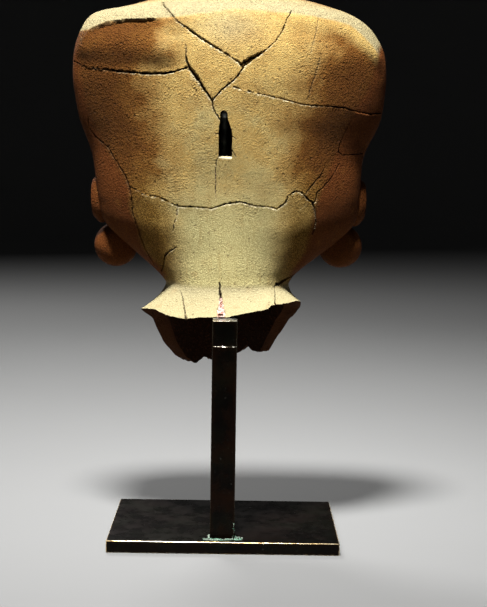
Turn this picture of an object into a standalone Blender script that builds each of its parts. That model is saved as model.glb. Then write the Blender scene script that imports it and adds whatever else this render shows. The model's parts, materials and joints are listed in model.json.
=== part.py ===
# Smiling head on a bar stand.
# A hollow fired-clay head, broken off at the neck, seen in the photograph from behind.
# It hangs on a bent rod in its rear vent and its rim rests on a square arm, on a post and a plate.
# Metres, +Z up. The origin is the middle of the plate's underside and the face looks along -Y.
import math

import bmesh
import bpy
from mathutils import Vector

# Clearance kept between two pieces that touch.
FIT_GAP = 0.0003

# Stand: quarter-inch plate and half-inch square bar.
PLATE_WIDTH = 0.120
PLATE_DEPTH = 0.090
PLATE_THICKNESS = 0.00635
PLATE_EDGE = 0.0006
BAR_SIDE = 0.0127
BAR_EDGE = 0.0005
POST_INSET = 0.0063
POST_OFFSET = 0.0005
POST_HEIGHT = 0.0999
ARM_HEIGHT = 0.0129
ARM_FRONT_MARGIN = 0.0050

# Rod that stands in the arm and turns back into the vent.
ROD_DIAMETER = 0.0032
ROD_SOCKET_DEPTH = 0.0080
ROD_BEND_RADIUS = 0.0080
ROD_WALL_CLEARANCE = 0.0065
ROD_END_RECESS = 0.0030
ROD_TIP_CHAMFER = 0.0007

# Head: the free form is drawn in head units, and a unit is a millimetre at the real size.
HEAD_HEIGHT = 0.1733
UNITS_TALL = 173.3
HEAD_WALL = 0.0070
AXIS_FROM_RIM = 41.0

# Vent cut through the back wall, with a narrow notch above it for the rod.
VENT_WIDTH = 0.0070
VENT_HEIGHT = 0.0162
VENT_BOTTOM = 83.3
VENT_OFFSET = 0.0014
NOTCH_OFFSET = 0.0024
NOTCH_HEIGHT = 0.0070

# Ears and ear spools.
EAR_RADII = (5.9, 8.5, 13.0)
EAR_INSET = 69.6
EAR_LEVEL = 59.0
EAR_FORWARD = 6.0
SPOOL_RADIUS = 12.0
SPOOL_DEPTH = 15.0
SPOOL_INSET = 61.2
SPOOL_LEVEL = 34.2
SPOOL_FORWARD = 8.0
SPOOL_CUP = 7.0

# Mesh density: columns in each half, and the row spacing up to each level in head units.
FRONT_COLUMNS = 50
BACK_COLUMNS = 18
NECK_ROWS = 6
ROW_SPACINGS = ((40.0, 2.7), (60.0, 4.0), (84.0, 2.9), (102.0, 5.8), (160.0, 4.2), (180.0, 5.0))
CAVITY_NECK_ROWS = 3
CAVITY_ROWS_PER_SPAN = 2

# Stations of the head from the jaw to the crown, in head units above the rim seat:
# height, half width left, half width right, widest plane, back depth, front depth,
# squareness behind, squareness in front, and whether the cavity follows the station.
STATIONS = (
    (15.0, 33.5, 33.3, 0.0, 29.0, 34.0, 2.2, 2.0, True),
    (20.0, 37.6, 36.8, 0.0, 28.6, 38.0, 2.0, 2.0, False),
    (28.0, 46.6, 46.6, 0.0, 28.5, 40.0, 1.75, 2.1, True),
    (36.0, 56.0, 57.0, 0.0, 28.7, 41.5, 1.65, 2.2, False),
    (47.0, 67.0, 68.0, 0.0, 29.0, 42.0, 1.75, 2.3, True),
    (58.0, 70.2, 70.6, 0.0, 29.5, 41.5, 1.9, 2.4, False),
    (70.0, 71.9, 71.4, 0.0, 30.0, 40.5, 2.05, 2.5, True),
    (84.6, 74.4, 73.0, 0.0, 31.6, 39.0, 2.2, 2.7, False),
    (102.0, 80.7, 80.9, 0.0, 33.0, 37.0, 2.35, 2.9, True),
    (116.0, 83.6, 83.2, 0.0, 33.4, 36.5, 2.5, 3.0, False),
    (128.0, 84.6, 83.7, 0.0, 32.6, 35.5, 2.6, 3.0, True),
    (140.0, 83.7, 82.2, 1.0, 31.0, 33.0, 2.6, 2.9, False),
    (150.0, 80.4, 76.8, 3.0, 28.0, 28.5, 2.6, 2.7, True),
    (156.5, 76.6, 70.2, 5.0, 25.5, 24.5, 2.5, 2.6, False),
    (160.2, 70.5, 64.3, 7.0, 22.5, 20.5, 2.4, 2.5, False),
    (163.2, 57.0, 57.0, 9.5, 18.0, 17.0, 2.3, 2.4, True),
    (168.0, 40.5, 40.5, 12.0, 12.0, 12.0, 2.1, 2.2, False),
    (171.9, 20.0, 20.0, 13.6, 5.8, 6.2, 2.0, 2.0, False),
    (173.3, 0.0, 0.0, 14.0, 0.0, 0.0, 2.0, 2.0, True),
)

# Broken lower edge by azimuth in degrees (0 left, 90 back, 180 right, 270 front), and how far
# the wall flares out there, both in head units.
BROKEN_EDGE = (
    (0, -0.5, 13.5), (20, 1.5, 12.5), (35, 2.0, 12.0), (50, -0.3, 12.0), (63, -1.4, 12.0),
    (75, 0.0, 12.0), (90, 0.3, 12.0), (105, 2.6, 11.5), (121, 5.0, 11.0), (131, 6.8, 10.0),
    (155, 7.0, 8.0), (170, 5.0, 7.0), (182, 1.5, 6.5), (200, -6.0, 3.0), (214, -16.0, 0.5),
    (226, -24.5, 0.5), (238, -25.0, 1.5), (246, -21.5, 1.5), (255, -25.5, 1.5), (275, -29.0, 1.5),
    (284, -30.8, 2.0), (296, -28.2, 3.0), (306, -32.0, 3.5), (320, -28.0, 4.0), (336, -19.5, 5.0),
    (350, -6.0, 8.0),
)

# Face and headband levels above the rim seat, in head units.
CHIN_LEVEL = 15.0
MOUTH_LEVEL = 29.0
NOSE_BASE = 47.0
EYE_LEVEL = 70.0
BROW_LEVEL = 83.0
BAND_BOTTOM = 107.0
BAND_TOP = 152.0
EYE_SPACING = 26.0
MOUTH_HALF = 24.0

CLAY_COLOR = (0.56, 0.40, 0.20, 1.0)
BRONZE_COLOR = (0.035, 0.026, 0.020, 1.0)
STEEL_COLOR = (0.16, 0.17, 0.17, 1.0)

UNIT = HEAD_HEIGHT / UNITS_TALL
POST_BOTTOM = PLATE_THICKNESS + FIT_GAP
POST_TOP = POST_BOTTOM + POST_HEIGHT
ARM_BOTTOM = POST_TOP + FIT_GAP
ARM_TOP = ARM_BOTTOM + ARM_HEIGHT
SEAT_LEVEL = ARM_TOP + FIT_GAP
POST_BACK = PLATE_DEPTH / 2.0 - POST_INSET
POST_FRONT = POST_BACK - BAR_SIDE
AXIS_Y = POST_FRONT - AXIS_FROM_RIM * UNIT
NOTCH_WIDTH = ROD_DIAMETER + 2.0 * FIT_GAP


def remove_everything():
    for item in list(bpy.data.objects):
        bpy.data.objects.remove(item, do_unlink=True)


def new_collection(name):
    collection = bpy.data.collections.new(name)
    bpy.context.scene.collection.children.link(collection)
    return collection


def make_material(name, color, roughness, metallic):
    material = bpy.data.materials.new(name)
    material.use_nodes = True
    shader = material.node_tree.nodes["Principled BSDF"]
    shader.inputs["Base Color"].default_value = color
    shader.inputs["Roughness"].default_value = roughness
    shader.inputs["Metallic"].default_value = metallic
    material.diffuse_color = color
    return material


def add_object(name, mesh, collection, material=None):
    item = bpy.data.objects.new(name, mesh)
    collection.objects.link(item)
    if material:
        mesh.materials.append(material)
    return item


def mark_cutter(item):
    item.hide_render = True
    item.display_type = "WIRE"


def add_boolean(item, operand, operation):
    modifier = item.modifiers.new(operand.name, "BOOLEAN")
    modifier.operation = operation
    modifier.solver = "EXACT"
    modifier.object = operand


def make_box(name, low, high, collection, material=None):
    # A cube primitive brought to the size and place given by two corners.
    mesh = bpy.data.meshes.new(name)
    builder = bmesh.new()
    bmesh.ops.create_cube(builder, size=1.0)
    size = [high[axis] - low[axis] for axis in range(3)]
    middle = [(high[axis] + low[axis]) / 2.0 for axis in range(3)]
    bmesh.ops.scale(builder, vec=size, verts=builder.verts)
    builder.to_mesh(mesh)
    builder.free()
    item = add_object(name, mesh, collection, material)
    item.location = middle
    return item


def add_bevel(item, width, segments):
    modifier = item.modifiers.new("worn edge", "BEVEL")
    modifier.width = width
    modifier.segments = segments
    modifier.limit_method = "ANGLE"


def clamp(value, low=0.0, high=1.0):
    return max(low, min(high, value))


def smooth_step(value):
    value = clamp(value)
    return value * value * (3.0 - 2.0 * value)


def bell(x, z, centre_x, centre_z, radius_x, radius_z):
    return math.exp(-((x - centre_x) / radius_x) ** 2 - ((z - centre_z) / radius_z) ** 2)


def ridge(distance, radius):
    return math.exp(-(distance / radius) ** 2)


def spline(values, position):
    # Catmull-Rom curve through rows of numbers, mirrored past its last row to close the crown.
    last = len(values) - 1
    span = min(int(position), last - 1)
    part = position - span
    first = values[max(span - 1, 0)]
    second = values[span]
    third = values[span + 1]
    if span + 2 <= last:
        fourth = values[span + 2]
    else:
        before = values[last - 1]
        end = values[last]
        fourth = (before[0], -before[1], -before[2], before[3], -before[4], -before[5]) + end[6:]
    result = []
    for a, b, c, d in zip(first, second, third, fourth):
        slope_b = (c - a) / 2.0
        slope_c = (d - b) / 2.0
        square = part * part
        cube = square * part
        result.append(
            (2 * cube - 3 * square + 1) * b
            + (cube - 2 * square + part) * slope_b
            + (3 * square - 2 * cube) * c
            + (cube - square) * slope_c
        )
    return result


def section_point(station, angle):
    # Point of a superellipse section with unlike left, right, front and back halves.
    height, left, right, plane, back, front, square_back, square_front = station
    across = math.cos(angle)
    along = math.sin(angle)
    power = square_back if along >= 0.0 else square_front
    reach = (abs(across) ** power + abs(along) ** power) ** (-1.0 / power)
    x = across * reach * (left if across >= 0.0 else right)
    y = along * reach * (back if along >= 0.0 else front) - plane
    return Vector((x, y, height))


def edge_at(azimuth):
    # Height and flare of the broken edge, interpolated around the neck.
    azimuth = azimuth % 360.0
    points = BROKEN_EDGE + ((360 + BROKEN_EDGE[0][0],) + BROKEN_EDGE[0][1:],)
    for low, high in zip(points, points[1:]):
        if azimuth <= high[0]:
            part = (azimuth - low[0]) / (high[0] - low[0])
            return [low[index] + part * (high[index] - low[index]) for index in (1, 2)]
    return points[-1][1:]


def neck_point(angle, part, inset, flare_share):
    # Point of the neck wall between the broken edge (0) and the jaw (1).
    jaw = STATIONS[0]
    edge_height, flare = edge_at(math.degrees(angle))
    height = edge_height + part * (jaw[0] - edge_height)
    chin = smooth_step((height - 1.0) / 11.0)
    front = 22.0 + chin * (jaw[5] - 22.0)
    station = (height,) + jaw[1:5] + (front,) + jaw[6:8]
    point = section_point(station, angle)
    outward = Vector((math.cos(angle), math.sin(angle), 0.0))
    return point + outward * (flare * flare_share * (1.0 - part) ** 1.7 - inset)


def head_relief(x, z):
    # Height of the face and headband above the plain front, in head units.
    side = abs(x)
    result = 0.0
    brow = BROW_LEVEL - 0.010 * (side - 22.0) ** 2
    result += 2.4 * ridge(z - brow, 3.4) * ridge(side - 24.0, 20.0)
    result -= 3.0 * bell(side, z, EYE_SPACING - 1.0, EYE_LEVEL + 1.0, 16.0, 9.0)
    eye = ((side - EYE_SPACING) / 15.0) ** 2 + ((z - EYE_LEVEL) / 6.5) ** 2
    result += 4.2 * math.sqrt(max(0.0, 1.0 - eye))
    slit = EYE_LEVEL - 0.8 + 0.012 * (side - EYE_SPACING) ** 2
    result -= 1.8 * ridge(z - slit, 2.0) * smooth_step((13.0 - abs(side - EYE_SPACING)) / 4.0)
    drop = clamp((BROW_LEVEL + 1.0 - z) / (BROW_LEVEL + 1.0 - NOSE_BASE))
    nose_half = 4.6 + 5.0 * drop
    nose_height = (3.0 + 10.5 * drop ** 1.1) * smooth_step((z - NOSE_BASE + 4.0) / 6.5)
    nose_height *= smooth_step((BROW_LEVEL + 9.0 - z) / 12.0)
    result += nose_height * math.exp(-(side / nose_half) ** 2.4)
    result += 5.0 * bell(side, z, 10.5, NOSE_BASE + 2.5, 4.2, 4.0)
    result += 6.0 * bell(side, z, 36.0, NOSE_BASE - 2.0, 15.0, 13.0)
    result += 3.5 * bell(side, z, 0.0, CHIN_LEVEL - 2.0, 13.0, 7.0)
    mouth = MOUTH_LEVEL - 1.0 + 0.010 * side ** 2
    opening = 5.2 * max(0.0, 1.0 - (side / MOUTH_HALF) ** 2)
    within = smooth_step((MOUTH_HALF + 4.0 - side) / 5.0)
    lip = abs(z - mouth) - opening - 2.2
    result += 3.2 * ridge(lip, 3.0) * within
    if opening > 0.0:
        result -= 3.0 * smooth_step((opening - abs(z - mouth)) / 3.4)
    return result


def band_relief(x, z, half_width):
    # Two rolls, a central disc and two end discs on a raised headband, in head units.
    if z < BAND_BOTTOM - 4.0 or z > BAND_TOP + 4.0:
        return 0.0
    middle = (BAND_BOTTOM + BAND_TOP) / 2.0
    result = 1.6 * smooth_step((z - BAND_BOTTOM + 2.0) / 3.0) * smooth_step((BAND_TOP + 2.0 - z) / 3.0)
    result += 2.2 * ridge(z - BAND_BOTTOM - 2.5, 2.6) + 2.2 * ridge(z - BAND_TOP + 2.5, 2.6)
    for centre, radius in ((0.0, 13.5), (0.70 * half_width, 8.0)):
        away = math.hypot(abs(x) - centre, z - middle)
        result += 2.6 * smooth_step((radius - away) / 3.5)
    return result


def front_share(angle):
    # 1 across the front of the mask, falling to 0 before its side edges.
    return smooth_step((-math.sin(angle) - 0.16) / 0.30)


def to_world(point):
    return Vector((point.x * UNIT, AXIS_Y + point.y * UNIT, SEAT_LEVEL + point.z * UNIT))


def station_numbers(cavity):
    return [row[:8] for row in STATIONS if row[8] or not cavity]


def row_positions():
    # Loft positions from the jaw to just under the crown, closer together over the face.
    rows = station_numbers(False)
    positions = []
    for index in range(len(rows) - 1):
        low = rows[index]
        rise = rows[index + 1][0] - low[0]
        spread = abs(rows[index + 1][1] - low[1])
        spacing = next(gap for level, gap in ROW_SPACINGS if low[0] + rise / 2.0 < level)
        steps = max(1, round(math.hypot(rise, 0.25 * spread) / spacing))
        positions += [index + step / steps for step in range(steps)]
    return positions


def column_angles():
    angles = [math.pi * index / BACK_COLUMNS for index in range(BACK_COLUMNS)]
    angles += [math.pi + math.pi * index / FRONT_COLUMNS for index in range(FRONT_COLUMNS)]
    return angles


def outer_rows():
    angles = column_angles()
    stations = station_numbers(False)
    rows = []
    for index in range(NECK_ROWS):
        part = index / NECK_ROWS
        row = []
        for angle in angles:
            point = neck_point(angle, part, 0.0, 1.0)
            chin = head_relief(point.x, point.z) * front_share(angle) * smooth_step((point.z - 4.0) / 8.0)
            point.y -= chin
            row.append(to_world(point))
        rows.append(row)
    for position in row_positions():
        station = spline(stations, position)
        row = []
        for angle in angles:
            point = section_point(station, angle)
            half = (station[1] + station[2]) / 2.0
            lift = head_relief(point.x, point.z) + band_relief(point.x, point.z, half)
            point.y -= lift * front_share(angle)
            row.append(to_world(point))
        rows.append(row)
    return rows


def cavity_point(stations, position, angle):
    # Point one wall thickness inside the plain surface, measured along its normal.
    step = 0.01
    here = section_point(spline(stations, position), angle)
    around = section_point(spline(stations, position), angle + step) - here
    above = section_point(spline(stations, position + step), angle) - here
    normal = around.cross(above).normalized()
    return here - normal * (HEAD_WALL / UNIT)


def cavity_rows():
    angles = column_angles()[::2]
    stations = station_numbers(True)
    wall = HEAD_WALL / UNIT
    rows = []
    for index in range(CAVITY_NECK_ROWS):
        part = index / CAVITY_NECK_ROWS
        rows.append([to_world(neck_point(angle, part, wall, 0.7)) for angle in angles])
    spans = len(stations) - 1
    for index in range(1, spans * CAVITY_ROWS_PER_SPAN):
        position = index / CAVITY_ROWS_PER_SPAN
        rows.append([to_world(cavity_point(stations, position, angle)) for angle in angles])
    return rows


def add_ring_faces(builder, lower, upper, inward):
    count = len(lower)
    for index in range(count):
        following = (index + 1) % count
        face = [lower[index], lower[following], upper[following], upper[index]]
        builder.faces.new(face[::-1] if inward else face)


def add_crown_fan(builder, ring, pole, inward):
    count = len(ring)
    for index in range(count):
        face = [ring[index], ring[(index + 1) % count], pole]
        builder.faces.new(face[::-1] if inward else face)


def add_broken_face(builder, outer, inner):
    # The fracture between the outer edge and the cavity's edge, which has half the points.
    count = len(inner)
    for index in range(count):
        following = (index + 1) % count
        first = outer[2 * index]
        middle = outer[2 * index + 1]
        last = outer[(2 * index + 2) % len(outer)]
        builder.faces.new([inner[index], middle, first])
        builder.faces.new([inner[index], inner[following], middle])
        builder.faces.new([inner[following], last, middle])


def make_head_shell(collection, material):
    builder = bmesh.new()
    outer = [[builder.verts.new(point) for point in row] for row in outer_rows()]
    inner = [[builder.verts.new(point) for point in row] for row in cavity_rows()]
    crown = Vector((0.0, -STATIONS[-1][3], STATIONS[-1][0]))
    top = builder.verts.new(to_world(crown))
    roof = builder.verts.new(to_world(crown) - Vector((0.0, 0.0, HEAD_WALL)))
    for lower, upper in zip(outer, outer[1:]):
        add_ring_faces(builder, lower, upper, False)
    for lower, upper in zip(inner, inner[1:]):
        add_ring_faces(builder, lower, upper, True)
    add_crown_fan(builder, outer[-1], top, False)
    add_crown_fan(builder, inner[-1], roof, True)
    add_broken_face(builder, outer[0], inner[0])
    bmesh.ops.triangulate(builder, faces=[face for face in builder.faces if len(face.verts) == 4])
    mesh = bpy.data.meshes.new("head")
    builder.to_mesh(mesh)
    builder.free()
    head = add_object("head", mesh, collection, material)
    return head


def make_ear(side, name, collection):
    mesh = bpy.data.meshes.new(name)
    builder = bmesh.new()
    bmesh.ops.create_uvsphere(builder, u_segments=14, v_segments=10, radius=1.0)
    bmesh.ops.scale(builder, vec=[radius * UNIT for radius in EAR_RADII], verts=builder.verts)
    builder.to_mesh(mesh)
    builder.free()
    ear = add_object(name, mesh, collection)
    ear.location = to_world(Vector((side * EAR_INSET, -EAR_FORWARD, EAR_LEVEL)))
    ear.rotation_euler = (0.0, side * math.radians(4.0), 0.0)
    mark_cutter(ear)
    return ear


def make_spool(side, name, collection):
    # A turned disc with a rounded back and a shallow cup in its front.
    profile = (
        (0.0, 0.5), (0.62, 0.44), (0.90, 0.22), (1.0, -0.05), (0.95, -0.34), (0.80, -0.5),
        (SPOOL_CUP / SPOOL_RADIUS, -0.42), (0.30, -0.26), (0.0, -0.20),
    )
    mesh = bpy.data.meshes.new(name)
    builder = bmesh.new()
    points = [
        builder.verts.new((share * SPOOL_RADIUS * UNIT, 0.0, along * SPOOL_DEPTH * UNIT))
        for share, along in profile
    ]
    for low, high in zip(points, points[1:]):
        builder.edges.new((low, high))
    builder.to_mesh(mesh)
    builder.free()
    spool = add_object(name, mesh, collection)
    turning = spool.modifiers.new("turning", "SCREW")
    turning.steps = 24
    turning.render_steps = 24
    turning.use_merge_vertices = True
    turning.merge_threshold = 0.00001
    spool.location = to_world(Vector((side * SPOOL_INSET, -SPOOL_FORWARD, SPOOL_LEVEL + 0.8 * (side < 0))))
    spool.rotation_euler = (-math.pi / 2.0, 0.0, side * math.radians(14.0))
    mark_cutter(spool)
    return spool


def vent_base():
    return SEAT_LEVEL + VENT_BOTTOM * UNIT


def vent_top():
    return vent_base() + VENT_HEIGHT + NOTCH_HEIGHT


def back_surface(height):
    # Y of the plain back wall on the centre line at a height above the rim seat, in head units.
    rows = station_numbers(False)
    for low, high in zip(rows, rows[1:]):
        if height <= high[0]:
            part = (height - low[0]) / (high[0] - low[0])
            return AXIS_Y + (low[4] + part * (high[4] - low[4])) * UNIT
    return AXIS_Y


def make_vent_cutter(name, collection):
    # Flat outline of the vent with its round-topped notch, pushed through the back wall.
    half = VENT_WIDTH / 2.0
    radius = NOTCH_WIDTH / 2.0
    shoulder = VENT_HEIGHT
    centre = NOTCH_OFFSET - VENT_OFFSET
    arch = shoulder + NOTCH_HEIGHT - radius
    outline = [(-half, 0.0), (half, 0.0), (half, shoulder), (centre + radius, shoulder + 0.0006)]
    for index in range(9):
        angle = math.pi * index / 8
        outline.append((centre + radius * math.cos(angle), arch + radius * math.sin(angle)))
    outline += [(centre - radius, shoulder + 0.0006), (-half, shoulder - 0.0008)]
    curve = bpy.data.curves.new(name, "CURVE")
    curve.dimensions = "2D"
    curve.fill_mode = "BOTH"
    curve.extrude = 1.6 * HEAD_WALL
    path = curve.splines.new("POLY")
    path.points.add(len(outline) - 1)
    for point, (x, z) in zip(path.points, outline):
        point.co = (x, z, 0.0, 1.0)
    path.use_cyclic_u = True
    drawing = bpy.data.objects.new(name + " outline", curve)
    collection.objects.link(drawing)
    middle = back_surface((vent_base() + VENT_HEIGHT / 2.0 - SEAT_LEVEL) / UNIT) - HEAD_WALL / 2.0
    drawing.location = (VENT_OFFSET, middle, vent_base())
    drawing.rotation_euler = (math.pi / 2.0, 0.0, 0.0)
    bpy.context.view_layer.update()
    return curve_to_mesh(drawing, name, collection)


def curve_to_mesh(drawing, name, collection, material=None):
    # The evaluated curve as a welded mesh object in the same place.
    evaluated = drawing.evaluated_get(bpy.context.evaluated_depsgraph_get())
    mesh = bpy.data.meshes.new_from_object(evaluated)
    mesh.name = name
    builder = bmesh.new()
    builder.from_mesh(mesh)
    bmesh.ops.remove_doubles(builder, verts=builder.verts, dist=0.000001)
    bmesh.ops.recalc_face_normals(builder, faces=builder.faces)
    builder.to_mesh(mesh)
    builder.free()
    item = add_object(name, mesh, collection, material)
    item.matrix_world = drawing.matrix_world.copy()
    bpy.data.objects.remove(drawing, do_unlink=True)
    return item


def rod_line():
    # Y of the upright and height of the part that turns back into the notch.
    level = vent_top() - FIT_GAP - ROD_DIAMETER / 2.0
    wall_y = back_surface((level - SEAT_LEVEL) / UNIT)
    upright_y = wall_y - HEAD_WALL - ROD_WALL_CLEARANCE - ROD_DIAMETER / 2.0
    return upright_y, level, wall_y - ROD_END_RECESS


def make_rod(collection, material):
    upright_y, level, end_y = rod_line()
    bottom = ARM_TOP - ROD_SOCKET_DEPTH + FIT_GAP
    turn = min(ROD_BEND_RADIUS, end_y - upright_y - ROD_DIAMETER)
    points = [(upright_y, bottom, 1.0), (upright_y, (bottom + level) / 2.0, 1.0)]
    for index in range(7):
        angle = math.pi / 2.0 * index / 6
        y = upright_y + turn * (1.0 - math.cos(angle))
        points.append((y, level - turn * (1.0 - math.sin(angle)), 1.0))
    tip = 1.0 - 2.0 * ROD_TIP_CHAMFER / ROD_DIAMETER
    points += [(end_y - ROD_TIP_CHAMFER, level, 1.0), (end_y, level, tip)]
    curve = bpy.data.curves.new("hanging_rod", "CURVE")
    curve.dimensions = "3D"
    curve.bevel_depth = ROD_DIAMETER / 2.0
    curve.bevel_resolution = 4
    curve.use_fill_caps = True
    path = curve.splines.new("POLY")
    path.points.add(len(points) - 1)
    for point, (y, z, radius) in zip(path.points, points):
        point.co = (NOTCH_OFFSET, y, z, 1.0)
        point.radius = radius
    drawing = bpy.data.objects.new("rod line", curve)
    collection.objects.link(drawing)
    bpy.context.view_layer.update()
    rod = curve_to_mesh(drawing, "hanging_rod", collection, material)
    rod.data.shade_smooth()
    rod.data.set_sharp_from_angle(angle=math.radians(35.0))
    return rod


def make_socket_cutter(collection):
    upright_y = rod_line()[0]
    mesh = bpy.data.meshes.new("rod socket")
    builder = bmesh.new()
    radius = ROD_DIAMETER / 2.0 + FIT_GAP
    depth = 2.0 * ROD_SOCKET_DEPTH
    bmesh.ops.create_cone(
        builder, cap_ends=True, segments=20, radius1=radius, radius2=radius, depth=depth
    )
    builder.to_mesh(mesh)
    builder.free()
    cutter = add_object("rod socket", mesh, collection)
    cutter.location = (NOTCH_OFFSET, upright_y, ARM_TOP)
    mark_cutter(cutter)
    return cutter


def make_stand(parts, cutters, bronze, steel):
    half_width = PLATE_WIDTH / 2.0
    half_depth = PLATE_DEPTH / 2.0
    plate = make_box(
        "base_plate", (-half_width, -half_depth, 0.0), (half_width, half_depth, PLATE_THICKNESS),
        parts, bronze,
    )
    add_bevel(plate, PLATE_EDGE, 2)
    bar_left = POST_OFFSET - BAR_SIDE / 2.0
    bar_right = POST_OFFSET + BAR_SIDE / 2.0
    post = make_box(
        "post", (bar_left, POST_FRONT, POST_BOTTOM), (bar_right, POST_BACK, POST_TOP), parts, bronze
    )
    add_bevel(post, BAR_EDGE, 1)
    arm_front = rod_line()[0] - ROD_DIAMETER / 2.0 - ARM_FRONT_MARGIN
    arm = make_box(
        "support_arm", (bar_left, arm_front, ARM_BOTTOM), (bar_right, POST_BACK, ARM_TOP), parts, bronze
    )
    add_bevel(arm, BAR_EDGE, 1)
    add_boolean(arm, make_socket_cutter(cutters), "DIFFERENCE")
    make_rod(parts, steel)


def make_head(parts, cutters, clay):
    head = make_head_shell(parts, clay)
    for side, word in ((1, "left"), (-1, "right")):
        add_boolean(head, make_ear(side, word + " ear", cutters), "UNION")
        add_boolean(head, make_spool(side, word + " ear spool", cutters), "UNION")
    vent = make_vent_cutter("vent", cutters)
    mark_cutter(vent)
    add_boolean(head, vent, "DIFFERENCE")
    head.data.shade_smooth()
    head.data.set_sharp_from_angle(angle=math.radians(50.0))


def build_model():
    remove_everything()
    parts = new_collection("smiling_head_sculpture")
    cutters = new_collection("cutters")
    clay = make_material("fired clay", CLAY_COLOR, 0.85, 0.0)
    bronze = make_material("dark bronze", BRONZE_COLOR, 0.45, 0.9)
    steel = make_material("grey steel", STEEL_COLOR, 0.4, 1.0)
    make_stand(parts, cutters, bronze, steel)
    make_head(parts, cutters, clay)


build_model()
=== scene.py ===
# Looks of the smiling head on its bar stand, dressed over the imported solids.
# Head lengths are in head units above the rim seat, and a unit is a millimetre at this size.
import json
import math

import bmesh
import bpy
import numpy as np
from mathutils import Matrix, Vector, kdtree, noise
from mathutils.bvhtree import BVHTree

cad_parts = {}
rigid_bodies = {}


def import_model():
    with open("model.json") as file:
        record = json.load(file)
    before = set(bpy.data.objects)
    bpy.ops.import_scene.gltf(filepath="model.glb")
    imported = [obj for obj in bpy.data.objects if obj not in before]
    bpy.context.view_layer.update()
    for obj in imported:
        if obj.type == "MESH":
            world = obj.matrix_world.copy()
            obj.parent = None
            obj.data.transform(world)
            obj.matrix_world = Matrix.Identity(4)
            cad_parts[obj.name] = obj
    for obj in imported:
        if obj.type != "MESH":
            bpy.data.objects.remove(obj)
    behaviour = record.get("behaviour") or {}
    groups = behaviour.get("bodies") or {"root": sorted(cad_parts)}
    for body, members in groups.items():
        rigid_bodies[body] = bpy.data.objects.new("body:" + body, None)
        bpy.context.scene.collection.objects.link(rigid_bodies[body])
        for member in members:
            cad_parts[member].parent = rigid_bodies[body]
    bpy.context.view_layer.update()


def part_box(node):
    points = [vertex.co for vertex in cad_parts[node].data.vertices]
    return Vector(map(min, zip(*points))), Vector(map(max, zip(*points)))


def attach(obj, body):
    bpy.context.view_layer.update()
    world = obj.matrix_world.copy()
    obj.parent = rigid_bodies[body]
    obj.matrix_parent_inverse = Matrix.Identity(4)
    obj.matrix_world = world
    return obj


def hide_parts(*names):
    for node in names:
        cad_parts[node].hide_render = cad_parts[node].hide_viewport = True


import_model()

place = {"fitGap": 0.0003, "unitsTall": 173.3, "axisFromRim": 41.0}
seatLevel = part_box("support_arm")[1].z + place["fitGap"]
unit = (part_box("head")[1].z - seatLevel) / place["unitsTall"]
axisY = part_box("post")[0].y - place["axisFromRim"] * unit


# small tools

def smoothStep(value, low=0.0, high=1.0):
    share = np.clip((value - low) / (high - low), 0.0, 1.0)
    return share * share * (3.0 - 2.0 * share)


def ridge(distance, radius):
    return np.exp(-(distance / radius) ** 2)


def bell(x, z, centre, radius):
    return np.exp(-((x - centre[0]) / radius[0]) ** 2 - ((z - centre[1]) / radius[1]) ** 2)


def softBox(x, z, corners, edge=0.9):
    left, low, right, high = corners
    inside = np.minimum(np.minimum(x - left, right - x), np.minimum(z - low, high - z))
    return smoothStep(inside, -edge / 2.0, edge / 2.0)


def repeatDistance(value, pitch):
    # distance to the middle of the nearest repeat
    return np.abs((value / pitch) % 1.0 - 0.5) * pitch


def toWorld(points):
    x, y, z = points[..., 0], points[..., 1], points[..., 2]
    return np.stack([x * unit, axisY + y * unit, seatLevel + z * unit], -1)


def linkObject(name, data):
    item = bpy.data.objects.new(name, data)
    bpy.context.scene.collection.objects.link(item)
    return item


def meshFrom(name, points, faces, slots=None, materials=()):
    mesh = bpy.data.meshes.new(name)
    mesh.from_pydata([tuple(point) for point in points], [], [tuple(face) for face in faces])
    for material in materials:
        mesh.materials.append(material)
    if slots is not None:
        mesh.polygons.foreach_set("material_index", np.asarray(slots, np.int32))
    mesh.update()
    return mesh


def meshArrays(mesh):
    points = np.empty(len(mesh.vertices) * 3, np.float32)
    mesh.vertices.foreach_get("co", points)
    normals = np.empty(len(mesh.vertices) * 3, np.float32)
    mesh.vertex_normals.foreach_get("vector", normals)
    return points.reshape(-1, 3).astype(float), normals.reshape(-1, 3).astype(float)


def storeValues(mesh, name, values):
    attribute = mesh.attributes.get(name) or mesh.attributes.new(name, "FLOAT", "POINT")
    attribute.data.foreach_set("value", np.asarray(values, np.float32))


def bakeModifiers(item):
    # what the modifiers make becomes the item's own plain mesh
    graph = bpy.context.evaluated_depsgraph_get()
    graph.update()
    mesh = bpy.data.meshes.new_from_object(
        item.evaluated_get(graph), preserve_all_data_layers=True, depsgraph=graph
    )
    item.modifiers.clear()
    item.data = mesh


def cutWith(item, name, tool):
    # takes the tool's shape out of the item when its modifiers are baked
    modifier = item.modifiers.new(name, "BOOLEAN")
    modifier.operation = "DIFFERENCE"
    modifier.object = tool
    modifier.solver = "EXACT"


def shadeSmooth(mesh, degrees):
    mesh.shade_smooth()
    mesh.set_sharp_from_angle(angle=math.radians(degrees))


def dressAs(item, node=None):
    if node:
        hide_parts(node)
    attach(item, "root")


def gridFaces(rows, columns, start=0, turned=False):
    # quads between closed rings of points
    faces = []
    for row in range(rows):
        for column in range(columns):
            low = start + row * columns + column
            side = start + row * columns + (column + 1) % columns
            upright = (low, low + columns, side + columns, side)
            faces.append((low, side, side + columns, low + columns) if turned else upright)
    return faces


def poleFaces(rings, columns):
    # quads between the rings, and fans to the two poles that follow them
    faces = gridFaces(rings - 1, columns)
    end = (rings - 1) * columns
    faces += [(rings * columns, column, (column + 1) % columns) for column in range(columns)]
    faces += [(rings * columns + 1, end + (column + 1) % columns, end + column) for column in range(columns)]
    return faces


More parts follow.
